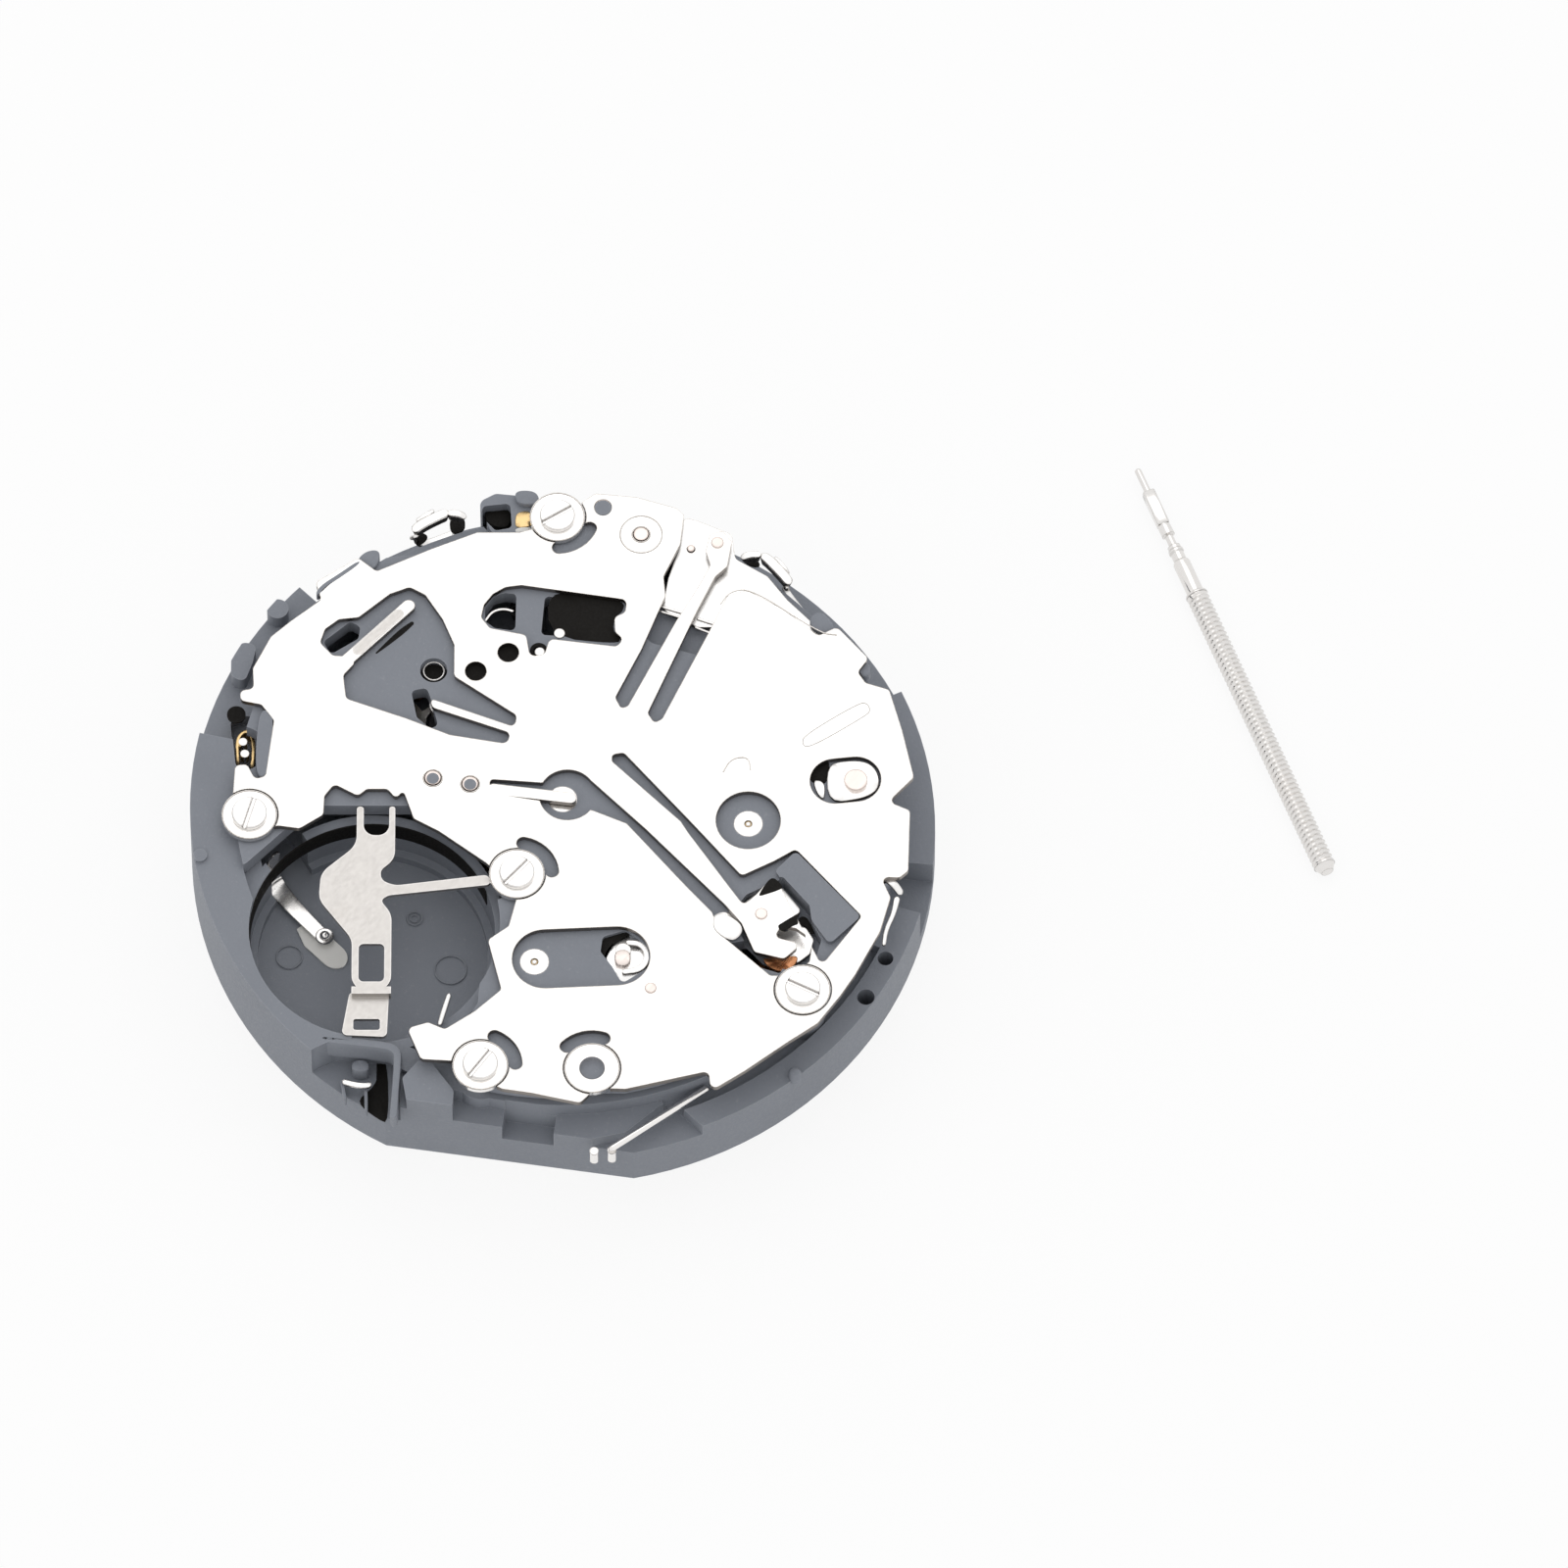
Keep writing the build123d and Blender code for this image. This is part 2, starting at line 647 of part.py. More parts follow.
press_gap = 0.005
foot_depth = 0.3
foot_level = cavity_floor - foot_depth
spring_width = 0.55
spring_thickness = 0.12
spring_rise = 0.11
spring_level = well_floor + spring_rise
spring_px = [(281, 878), (334, 955)]
spring_channel_width = 1.9


def spring_channel():
    """The notch in the well's wall that lets the negative spring in."""
    root, tip = spots(spring_px, spring_level)
    return bar(root, tip, spring_channel_width, well_floor, rim_top + overrun)


channel_width = 2.6
channel_reach = 2.2
channel_top = 3.1
channel_low_x = cavity_radius - channel_reach


def stem_channel():
    """A block of the base round the stem's way in."""
    half = channel_width / 2
    return block(channel_low_x, body_radius, -half, half, dial_recess_depth, channel_top)


def keyless_slot():
    """The slot through the web where the sliding pinion reaches the setting wheel."""
    half = pinion_radius + slot_gap
    return block(pinion_x - slot_lead, pinion_x + pinion_length + slot_lag, -half, half,
                 dial_recess_depth - overrun, cavity_floor + overrun)


slot_gap, slot_lead, slot_lag = 0.25, 1.2, 0.5
pinion_x = 6.7
pinion_length = 1.7
pinion_radius = 0.85
pinion_groove_radius, pinion_groove_width = 0.5, 0.5
pinion_bore_radius = 0.38
hook_pocket_px = [(318, 1070), (345, 1058), (408, 1062), (412, 1120), (392, 1150), (340, 1128)]
contact_pocket_px = [(235, 720), (262, 716), (262, 790), (242, 782)]


hook_pocket_floor = 2.3
contact_pocket_floor = 2.4


def clamp_hook_pocket():
    face = photo_face(hook_pocket_px, rim_top)
    return solid_between(face, hook_pocket_floor, rim_top + overrun)


def contact_pocket():
    face = photo_face(contact_pocket_px, rim_top)
    return solid_between(face, contact_pocket_floor, rim_top + overrun)


frame_px = [
    (556, 540), (597, 512), (650, 510), (688, 522), (690, 555), (672, 592), (674, 612), (700, 628),
    (724, 582), (760, 596), (800, 620), (835, 646), (856, 628), (882, 672), (880, 700), (903, 710),
    (915, 745), (925, 793), (905, 820), (920, 830), (920, 885), (900, 905), (895, 945), (868, 990),
    (848, 1030), (800, 1064), (722, 1104), (610, 1104), (540, 1112), (498, 1106), (470, 1078),
    (470, 1052), (490, 1022), (496, 962), (498, 930), (510, 917), (527, 910), (505, 878), (424, 822),
    (330, 822), (300, 840), (252, 882), (226, 874), (218, 840), (220, 792), (240, 716), (252, 690),
    (264, 668), (330, 622), (330, 596), (366, 572), (440, 564), (488, 546),
]
frame_hole_px = [
    [(330, 655), (358, 634), (368, 640), (366, 652), (338, 668)],
    [(420, 705), (436, 702), (440, 712), (448, 740), (440, 744), (426, 732)],
    [(556, 608), (630, 616), (624, 652), (552, 648)],
    [(495, 634), (495, 620), (504, 608), (516, 605), (527, 606), (526, 644), (505, 641)],
    [(616, 955), (640, 948), (662, 965), (664, 985), (636, 1002), (626, 985), (614, 970)],
]
raised_block_px = [(791, 888), (812, 868), (878, 934), (846, 962)]
block_drop = 0.05
frame_setback = 0.2


def bearing_bore(name, place):
    """A bush's seat and its arbor's hole: blind from below, or open at the frame's top."""
    if name in blind_bearings:
        low, high = frame_bottom - overrun, frame_bottom + bush_thickness
        hole = disc(arbor_radius + running_gap, low, high + running_gap, place)
        return disc(bush_radius, low, high, place) + hole
    low, high = frame_top - bush_thickness, frame_top + overrun
    hole = disc(arbor_radius + running_gap, frame_bottom - overrun, high, place)
    return disc(bush_radius, low, high, place) + hole


frame_round_px = (443, 684, 14)
terminal_px, terminal_radius = (247, 764), 1.0


def make_upper_frame():
    """The grey frame under the steel plate: it carries the upper pivots and the pillars."""
    body = photo_solid(frame_px, frame_bottom, frame_top, plate_corner)
    body = body & disc(frame_radius, frame_bottom, frame_top)
    edge_radius = well_radius + frame_setback
    body -= disc(edge_radius, frame_bottom - overrun, frame_top + overrun, well_centre)
    for hole_px in frame_hole_px:
        face = photo_face(hole_px, frame_top, slot_corner)
        body -= solid_between(face, frame_bottom - overrun, frame_top + overrun)
    x_px, y_px, round_px = frame_round_px
    round_place = spot(x_px, y_px, frame_top)
    body -= disc(round_px * mm_per_px, frame_bottom - overrun, frame_top + overrun, round_place)
    body += photo_solid(raised_block_px, frame_bottom, plate_top - block_drop, slot_corner)
    for name, place in bearing_places().items():
        body -= bearing_bore(name, place)
    for place in screws_at + [empty_pillar_at]:
        body -= disc(pillar_radius + running_gap, frame_bottom - overrun, frame_top + overrun, place)
        body -= disc(pillar_flange_radius + running_gap, pillar_flange_low - running_gap,
                     plate_top + overrun, place)
    body -= lever_pocket()
    reset_face = photo_face(reset_pocket_px, frame_top, slot_corner)
    body -= solid_between(reset_face, reset_low - side_gap, frame_top + overrun)
    copper_face = photo_face(copper_window_px, frame_top, fine_corner)
    body -= solid_between(copper_face, frame_bottom - overrun, frame_top + overrun)
    reset_place = spot(*reset_pivot_px, reset_low + reset_thickness)
    lever_place = spot(*operating_pivot_px, lever_bottom + lever_thickness)
    for place in (reset_place, lever_place):
        body -= disc(stud_radius + press_gap, frame_bottom - overrun, frame_top + overrun, place)
    body -= disc(terminal_radius, frame_bottom - overrun, frame_top + overrun, spot(*terminal_px, frame_top))
    return largest(body)


pillar_flange_low = plate_top - pillar_flange_thickness
empty_hole_radius, empty_hole_depth = 0.5, 0.8
short_screw_length = 0.95
screw_edge = 0.06


def make_pillars():
    """Six flanged metal tubes, one under each screw and one that is empty."""
    pieces = []
    for index, place in enumerate(screws_at + [empty_pillar_at]):
        low = frame_bottom + rim_lap / 2 if index == short_screw else body_top - pillar_seat
        tube = disc(pillar_radius, low, plate_top, place)
        tube += disc(pillar_flange_radius, pillar_flange_low, plate_top, place)
        hole = empty_hole_radius if index == len(screws_at) else pillar_hole_radius
        low_hole = plate_top - empty_hole_depth if index == len(screws_at) else low - overrun
        tube -= disc(hole, low_hole, plate_top + overrun, place)
        pieces.append(tube)
    return pieces


def make_screws():
    """Five slotted cheese-head screws."""
    pieces = []
    for index, place in enumerate(screws_at):
        length = short_screw_length if index == short_screw else screw_length
        head = disc(screw_head_radius, plate_top, plate_top + screw_head_height, place)
        head = fillet(head.edges().group_by(Axis.Z)[-1], screw_edge)
        slot = Rot(0, 0, screw_slot_angles[index]) * Box(4 * screw_head_radius, slot_width, screw_head_height)
        slot = Pos(place[0], place[1], plate_top + screw_head_height) * slot
        pieces.append(head + disc(screw_shank_radius, plate_top - length, plate_top, place) - slot)
    return pieces


def make_bushes():
    """Pivot bushes pressed into the upper frame, one over each arbor, some from its underside."""
    pieces = []
    for name, place in bearing_places().items():
        low = frame_bottom if name in blind_bearings else frame_top - bush_thickness
        bush = ring(bush_radius - press_gap, arbor_radius + running_gap, low, low + bush_thickness, place)
        pieces.append(bush)
    return pieces


arbor_top = frame_top - running_gap
blind_arbor_top = frame_bottom + bush_thickness
rim_modules, hub_radii = 3.2, 2.6
least_web = 0.3
hub_wall = 0.1


def staff(place, low, high, radius=arbor_radius):
    return disc(radius, low, high, place)


def toothed_pair(place, wheel_teeth, wheel_module, wheel_turn, wheel_low, leaves, leaf_module,
                 leaf_turn, leaf_low, foot, head, arms=4):
    """A wheel and a pinion on one arbor between its two bearings."""
    body = gear(place, wheel_teeth, wheel_module, wheel_turn, wheel_low, wheel_low + gear_thickness)
    rim = wheel_teeth * wheel_module / 2 - rim_modules * wheel_module
    hub = max(hub_radii * arbor_radius, leaves * leaf_module / 2 + hub_wall)
    if rim > hub + least_web:
        body -= wheel_openings(place, rim, hub, arms, wheel_low, wheel_low + gear_thickness)
    body += gear(place, leaves, leaf_module, leaf_turn, leaf_low, leaf_low + pinion_thickness)
    low, high = sorted((wheel_low, leaf_low))
    body += disc(leaves * leaf_module / 2 - leaf_module, low, high + gear_thickness, place)
    return body + staff(place, foot, head)


turns = {}


def set_turns():
    """Every gear's turn at rest, worked along the trains from the first gear of each."""
    t = turns
    t["centre"] = 0.0
    t["third_leaves"] = mesh_turn(centre, centre_teeth, t["centre"], third, leaf_teeth)
    t["third"] = 0.0
    t["seconds_leaves"] = mesh_turn(third, third_teeth, t["third"], small_seconds, leaf_teeth)
    t["seconds"] = 0.0
    t["step_leaves"] = mesh_turn(small_seconds, seconds_teeth, t["seconds"], step_arbor, leaf_teeth)
    t["step"] = 0.0
    t["rotor"] = mesh_turn(step_arbor, step_teeth, t["step"], rotor_arbor, leaf_teeth)
    t["counting"] = 0.0
    t["chrono_leaves"] = mesh_turn(counting, counting_teeth, t["counting"], centre, leaf_teeth)
    t["counter"] = 0.0
    t["counting_leaves"] = mesh_turn(minute_counter, counter_teeth, t["counter"], counting, leaf_teeth)
    t["drive"] = 0.0
    t["drive_leaves"] = mesh_turn(centre, drive_teeth, t["drive"], chrono_arbor, drive_leaves)
    t["chrono"] = 0.0
    t["chrono_rotor"] = mesh_turn(chrono_arbor, chrono_teeth, t["chrono"], chrono_rotor_arbor, leaf_teeth)
    t["minute"] = 0.0
    t["cannon"] = mesh_turn(minute_arbor, minute_teeth, t["minute"], centre, cannon_teeth)
    t["hour"] = 0.0
    t["minute_leaves"] = mesh_turn(centre, hour_teeth, t["hour"], minute_arbor, minute_leaves)
    t["setting"] = mesh_turn(minute_arbor, minute_teeth, t["minute"], setting_arbor, setting_teeth)
    t["second_setting"] = mesh_turn(setting_arbor, setting_teeth, t["setting"],
                                    second_setting_arbor, second_setting_teeth)
    t["between"] = mesh_turn(centre, hour_teeth, t["hour"], date_between, between_teeth)
    t["between_leaves"] = 0.0
    t["date"] = mesh_turn(date_between, between_teeth, 0.0, date_arbor, date_teeth)


cannon_top = third_level - side_gap
cannon_bore = seconds_staff_radius + running_gap


centre_rim, centre_hub = 3.1, 0.75


def make_centre_wheel():
    high = centre_level + gear_thickness
    body = gear(centre, centre_teeth, centre_module, turns["centre"], centre_level, high)
    body -= wheel_openings(centre, centre_rim, centre_hub, 4, centre_level, high)
    return body - disc(minute_pipe_radius * (1 + taper_share), 0, rim_top, centre)


def make_cannon_pinion():
    """The minute-hand post: a long tube with teeth, on which the centre wheel slips."""
    low, high = counter_level, counter_level + motion_thickness + pinion_drop
    body = gear(centre, cannon_teeth, motion_module, turns["cannon"], low, high)
    body += disc(minute_post_radius, -minute_post_length, 0, centre)
    body += tapered(minute_pipe_radius, -hour_post_length - shoulder_gap, cannon_top, centre)
    return body - disc(cannon_bore, -minute_post_length - overrun, rim_top, centre)


def make_hour_wheel():
    high = motion_low + motion_thickness + pinion_drop
    body = gear(centre, hour_teeth, motion_module, turns["hour"], motion_low, high)
    body += disc(hour_post_radius, -hour_post_length, 0, centre)
    body += tapered(hour_pipe_radius, 0, high, centre)
    return body - disc(minute_pipe_radius + running_gap, -hour_post_length - overrun, 1, centre)


def make_minute_wheel():
    high = counter_level + motion_thickness
    body = gear(minute_arbor, minute_teeth, motion_module, turns["minute"], counter_level, high)
    turn = turns["minute_leaves"]
    body += gear(minute_arbor, minute_leaves, motion_module, turn, motion_low, counter_level)
    return body - disc(stud_radius + running_gap, 0, 1, minute_arbor)


stud_radius = 0.14
stud_low = 0.26


def make_motion_studs():
    """Steel studs pressed into the web on which the dial-side wheels turn."""
    places = (minute_arbor, setting_arbor, second_setting_arbor, date_between, date_arbor)
    return [disc(stud_radius, stud_low, dial_recess_depth, place) for place in places]


def simple_gear(place, teeth, module, turn, low, high):
    return gear(place, teeth, module, turn, low, high, stud_radius + running_gap)


date_high = date_level + date_thickness
between_drum, between_rim, between_hub = 1.8, 1.45, 0.5


def make_date_between():
    high = motion_low + motion_thickness
    body = gear(date_between, between_teeth, motion_module, turns["between"], motion_low, high)
    body += disc(between_drum, high, date_level, date_between)
    body += gear(date_between, between_teeth, date_module, turns["between_leaves"], date_level, date_high)
    body -= wheel_openings(date_between, between_rim, between_hub, 4, motion_low, date_high)
    return body - disc(stud_radius + running_gap, 0, 1, date_between)


date_finger_reach, date_finger_width, date_finger_angle = 1.95, 0.3, -40
date_finger_low = 0.2


def make_date_wheel():
    body = gear(date_arbor, date_teeth, date_module, turns["date"], date_level, date_high)
    body += disc(between_hub, date_finger_low, date_level, date_arbor)
    tip = beside(date_arbor, date_finger_reach, date_finger_angle)
    body += bar(date_arbor, tip, date_finger_width, date_finger_low, motion_low - running_gap)
    return body - disc(stud_radius + running_gap, 0, 1, date_arbor)


date_ring_gap, date_ring_width = 0.25, 2.05
date_ring_outer = ring_recess_radius - date_ring_gap
date_ring_inner = date_ring_outer - date_ring_width
date_tooth_height = 0.45
date_ring_low = 0.22
date_ring_high = 0.45
date_tooth_share = 0.3
days = 31


def make_date_ring():
    """The date ring with an inward tooth for each day of the month."""
    body = ring(date_ring_outer, date_ring_inner, date_ring_low, date_ring_high)
    step = 2 * math.pi / days
    for i in range(days):
        angle = math.degrees(step * i + step / 2)
        half = math.degrees(date_tooth_share * step)
        points = [
            beside(centre, date_ring_inner + side_gap, angle - half),
            beside(centre, date_ring_inner - date_tooth_height, angle),
            beside(centre, date_ring_inner + side_gap, angle + half),
        ]
        body += solid_between(outline(points), date_ring_low, date_ring_high)
    return body


jumper_angle, jumper_width, jumper_hub_radius = 186, 0.22, 0.55
heel_depth, heel_angle = 1.3, 24
hub_depth, hub_angle = 1.6, 26
neck_depth, neck_angle = 0.75, 1
nose_clear, nose_root, nose_before, nose_after = 0.12, 0.85, 0.6, 1.6


def make_date_jumper():
    """The date jumper: a thin spring arm whose nose lies between two teeth of the ring."""
    step = 360 / days
    notch = round(jumper_angle / step) * step
    nose = beside(centre, date_ring_inner - date_tooth_height + nose_clear, notch)
    heel = beside(centre, date_ring_inner - heel_depth, notch + heel_angle)
    hub = beside(centre, date_ring_inner - hub_depth, notch + hub_angle)
    neck = beside(centre, date_ring_inner - neck_depth, notch + neck_angle)
    low, high = date_ring_low, date_ring_high
    body = bar(heel, neck, jumper_width, low, high)
    body += outline_prism([nose, beside(centre, date_ring_inner - nose_root, notch + nose_after),
                           beside(centre, date_ring_inner - nose_root, notch - nose_before)], low, high)
    body += disc(jumper_hub_radius, low, dial_recess_depth, hub)
    return largest(body)


def outline_prism(points, low, high):
    return solid_between(outline(points), low, high)


guard_thickness, guard_gap = 0.12, 0.1
guard_radius = ring_recess_radius - guard_gap
guard_post_gap, guard_hole_radius = 0.15, 0.5
date_window_x, date_window_half = 10.4, 1.1


def make_guard_plate():
    """The calendar guard plate that closes the dial side, with the hand posts' holes."""
    body = disc(guard_radius, running_gap, running_gap + guard_thickness)
    body -= disc(hour_pipe_radius + guard_post_gap, -overrun, overrun, centre)
    for place in (small_seconds, minute_counter):
        body -= disc(guard_hole_radius, -overrun, overrun, place)
    body -= block(date_window_x, guard_radius + overrun, -date_window_half, date_window_half,
                  -overrun, overrun)
    return body


def make_small_seconds_wheel():
    low = -small_post_length
    body = toothed_pair(small_seconds, seconds_teeth, seconds_module, turns["seconds"], seconds_level,
                        leaf_teeth, third_module, turns["seconds_leaves"], seconds_pinion_level,
                        cavity_floor, arbor_top)
    body += disc(small_post_radius, low, 0, small_seconds)
    return body + tapered(small_staff_radius, 0, cavity_floor + gear_thickness, small_seconds)


def make_third_wheel():
    return toothed_pair(third, third_teeth, third_module, turns["third"], third_level,
                        leaf_teeth, centre_module, turns["third_leaves"], centre_level - tooth_overlap,
                        foot_level, blind_arbor_top)


def make_step_wheel():
    return toothed_pair(step_arbor, step_teeth, seconds_module, turns["step"], step_level,
                        leaf_teeth, seconds_module, turns["step_leaves"], seconds_level - pinion_drop,
                        foot_level, blind_arbor_top)


magnet_radius = 0.6
magnet_thickness = 0.5


def rotor(place, turn, module, pinion_level, head):
    """The two-pole magnet with its pinion; it turns half a turn at each impulse."""
    body = disc(magnet_radius, rotor_low, rotor_low + magnet_thickness, place)
    body += gear(place, leaf_teeth, module, turn, pinion_level, pinion_level + pinion_thickness)
    body += disc(leaf_teeth * module / 2 - module, rotor_low, pinion_level + gear_thickness, place)
    return body + staff(place, foot_level, head)


def make_chrono_wheel():
    return toothed_pair(chrono_arbor, chrono_teeth, drive_module, turns["chrono"], chrono_level,
                        drive_leaves, drive_module, turns["drive_leaves"], drive_level - pinion_thickness / 4,
                        foot_level, blind_arbor_top)


drive_rim, drive_hub = 2.95, 0.6
counter_rim = 3.3
sleeve_radius = 0.3


def make_chrono_drive_wheel():
    """The clutch wheel: loose on the seconds arbor, driven by the second motor."""
    low, high = drive_level, drive_level + gear_thickness
    body = gear(centre, drive_teeth, drive_module, turns["drive"], low, high, arbor_radius + running_gap)
    return body - wheel_openings(centre, drive_rim, drive_hub, 5, low, high)


def make_chrono_seconds():
    """The centre seconds arbor: hand post, pinion and heart cam."""
    low = cannon_top + side_gap
    body = disc(seconds_post_radius, -seconds_post_length, 0, centre)
    body += tapered(seconds_staff_radius, -minute_post_length - shoulder_gap, low, centre)
    body += staff(centre, low - pinion_drop, arbor_top)
    body += gear(centre, leaf_teeth, counting_module, turns["chrono_leaves"], counting_level - pinion_drop,
                 counting_level + gear_thickness + tooth_overlap)
    body += disc(sleeve_radius, low, counting_level, centre)
    body += heart(centre, heart_size, centre_side + quarter_turn, heart_level, heart_level + heart_thickness)
    return body


def make_counting_wheel():
    body = toothed_pair(counting, counting_teeth, counting_module, turns["counting"], counting_level,
                        leaf_teeth, counter_module, turns["counting_leaves"],
                        counter_level - tooth_overlap, counter_level - motion_thickness, blind_arbor_top)
    fill = disc(leaf_teeth * counter_module, counter_level + pinion_thickness, counting_level, counting)
    body -= fill
    return body + staff(counting, counter_level, blind_arbor_top)


def make_minute_counter():
    """The 9 o'clock counter: wheel on the dial side, heart cam on the battery side."""
    body = gear(minute_counter, counter_teeth, counter_module, turns["counter"],
                counter_level, counter_level + gear_thickness)
    body -= wheel_openings(minute_counter, counter_rim, drive_hub, 5, counter_level,
                           counter_level + gear_thickness)
    body += disc(counter_post_radius, -small_post_length, 0, minute_counter)
    body += tapered(counter_staff_radius, 0, cavity_floor + pinion_drop, minute_counter)
    body += staff(minute_counter, cavity_floor, arbor_top)
    turn = counter_side + quarter_turn
    body += heart(minute_counter, heart_size, turn, heart_level, heart_level + heart_thickness)
    return body


# Step motors: a core bar with pole shoes, its winding, and a stator plate with the rotor hole
stator_thickness = 0.4
stator_rise = 0.05
stator_low = rotor_low + stator_rise
rotor_hole_gap = 0.15
rotor_hole_radius = magnet_radius + rotor_hole_gap
core_width = 0.8
core_thickness = 0.5
winding_radius = 0.75


def motor_frame(place, angle):
    """The turn and place that carry a motor drawn along +X to where its rotor stands."""
    return Pos(place[0], place[1], 0) * Rot(0, 0, angle)


motor_length = 4.6
motor_shift = 0.9
coil_offset = 2.1
stator_half_width = 0.95
shoe_width = 1.0


def make_stator(place, angle):
    """The soft-iron plate round the rotor, with a shoe at each end for the coil core."""
    low, high = stator_low, stator_low + stator_thickness
    left, right = -motor_shift - motor_length / 2, -motor_shift + motor_length / 2
    body = block(left, right, -stator_half_width, stator_half_width, low, high)
    for start in (left, right - shoe_width):
        body += block(start, start + shoe_width, -coil_offset - core_width / 2, 0, low, high)
    body -= disc(rotor_hole_radius, low - overrun, high + overrun)
    return motor_frame(place, angle) * body


def make_core(place, angle):
    """The core bar that lies on the stator's two shoes."""
    low = stator_low + stator_thickness
    left, right = -motor_shift - motor_length / 2, -motor_shift + motor_length / 2
    body = block(left, right, -coil_offset - core_width / 2, -coil_offset + core_width / 2,
                 low, low + core_thickness)
    return motor_frame(place, angle) * body


def make_winding(place, angle):
    """The winding's envelope on the core, between the two shoes."""
    middle = stator_low + stator_thickness + core_thickness / 2
    span = motor_length - 2 * shoe_width - 2 * side_gap
    shape = Rot(0, 90, 0) * Cylinder(winding_radius, span)
    slot = Box(span + overrun, core_width, core_thickness)
    return motor_frame(place, angle) * Pos(-motor_shift, -coil_offset, middle) * (shape - slot)


time_motor_angle = -15.7
chrono_motor_angle = 135


board_low = 2.6
board_thickness = 0.2
board_corner_low = (4.0, -6.2)
board_corner_high = (9.8, -3.9)
board_posts = [(4.7, -5.6), (9.1, -5.4)]
board_post_radius = 0.45


def make_circuit_board():
    """The thin circuit board that lies on two posts of the base."""
    (x_low, y_low), (x_high, y_high) = board_corner_low, board_corner_high
    return block(x_low, x_high, y_low, y_high, board_low, board_low + board_thickness)


crystal_radius = 0.62
crystal_length = 4.4
crystal_round = 0.15
crystal_place = (6.6, -7.4)
chip_size = 1.7
chip_height = 0.45
chip_place = (6.7, -5.05)


def make_crystal():
    """The quartz crystal's can, lying on the floor of the base beside the board."""
    can = Rot(0, 90, 0) * Cylinder(crystal_radius, crystal_length)
    can = fillet(can.edges(), crystal_round)
    return Pos(crystal_place[0], crystal_place[1], cavity_floor + crystal_radius + press_gap) * can


def make_chip():
    x, y = chip_place
    half = chip_size / 2
    low = board_low + board_thickness
    return block(x - half, x + half, y - half, y + half, low, low + chip_height)


# Levers
lever_depth = 0.28
lever_bottom = frame_top - lever_depth
lever_thickness = 0.2
lever_pocket_px = [(680, 505), (765, 530), (870, 640), (830, 700), (660, 655), (668, 560)]
lever_post_radius = 0.3
operating_px = [
    (697, 527), (712, 531), (747, 545), (750, 570), (783, 588), (803, 612), (842, 648), (830, 668),
    (790, 640), (735, 640), (712, 640), (676, 622), (682, 590), (694, 556),
]
operating_pivot_px = (705, 560)


def lever_pocket():
    """The recess of the frame in which the operating lever swings."""
    face = photo_face(lever_pocket_px, frame_top)
    pocket = solid_between(face, lever_bottom - side_gap, plate_top + overrun)
    place = spot(*operating_pivot_px, lever_bottom + lever_thickness)
    post = disc(lever_post_radius, frame_bottom, lever_bottom - side_gap, place)
    return pocket - post


def make_operating_lever():
    body = photo_solid(operating_px, lever_bottom, lever_bottom + lever_thickness)
    place = spot(*operating_pivot_px, lever_bottom + lever_thickness)
    return body - disc(stud_radius + running_gap, 0, 2 * rim_top, place)


def make_lever_studs():
    """Pivot studs of the operating lever, the hammer, the setting lever and the yoke."""
    place = spot(*operating_pivot_px, lever_bottom + lever_thickness)
    pieces = [disc(stud_radius, body_top - pillar_seat, frame_top, place)]
    pieces.append(disc(stud_radius, foot_level, frame_bottom, hammer_pivot))
    for place in (setting_pivot, yoke_pivot):
        pieces.append(disc(stud_radius, foot_level, setting_high + side_gap, place))
    reset_place = spot(*reset_pivot_px, reset_low + reset_thickness)
    pieces.append(disc(stud_radius, frame_bottom, reset_low + reset_thickness + side_gap, reset_place))
    return pieces


hammer_pivot = (-5.7, -5.3)
hammer_drop, hammer_thickness = 0.02, 0.26
hammer_low = heart_level - hammer_drop
hammer_high = hammer_low + hammer_thickness
hammer_arm = 0.55
hammer_boss = 0.6
hammer_face = heart_size + hammer_arm / 2 + running_gap
counter_side = -10
centre_side = -48.7


def make_hammer():
    """The reset hammer: one arm for each heart cam, its hook and a short pin."""
    low, high = hammer_low, hammer_high
    counter_face = beside(minute_counter, hammer_face, counter_side)
    centre_face = beside(centre, hammer_face, centre_side)
    body = disc(hammer_boss, low, high, hammer_pivot)
    body += bar(hammer_pivot, counter_face, hammer_arm, low, high)
    body += bar(hammer_pivot, centre_face, hammer_arm, low, high)
    hook = spot(*hammer_pin_px, high)
    body += disc(hammer_boss, low, high, hook)
    body += bar(hammer_pivot, hook, hammer_arm, low, high)
    body += disc(hammer_pin_radius, high, frame_top, hook)
    return body - disc(stud_radius + running_gap, 0, rim_top, hammer_pivot)


hammer_pin_px = (637, 979)
hammer_pin_radius = 0.3
reset_rise = 0.2
reset_low = frame_bottom + reset_rise
reset_thickness = 0.2
reset_pivot_px = (777, 931)
reset_px = [
    (758, 922), (770, 912), (797, 904), (818, 929), (796, 943), (799, 951), (812, 944), (822, 946),
    (830, 958), (826, 972), (814, 981), (796, 977), (776, 965), (762, 948),
]
reset_pocket_px = [
    (752, 924), (762, 912), (798, 896), (826, 926), (828, 940), (838, 958), (832, 978), (816, 990),
    (790, 986), (768, 972), (750, 944),
]
copper_window_px = [(742, 962), (762, 958), (778, 974), (800, 984), (796, 992), (776, 986)]


def make_reset_lever():
    """The reset lever seen in the large window, with its hooked end."""
    low, high = reset_low, reset_low + reset_thickness
    body = photo_solid(reset_px, low, high, slot_corner)
    place = spot(*reset_pivot_px, high)
    return body - disc(stud_radius + running_gap, 0, rim_top, place)


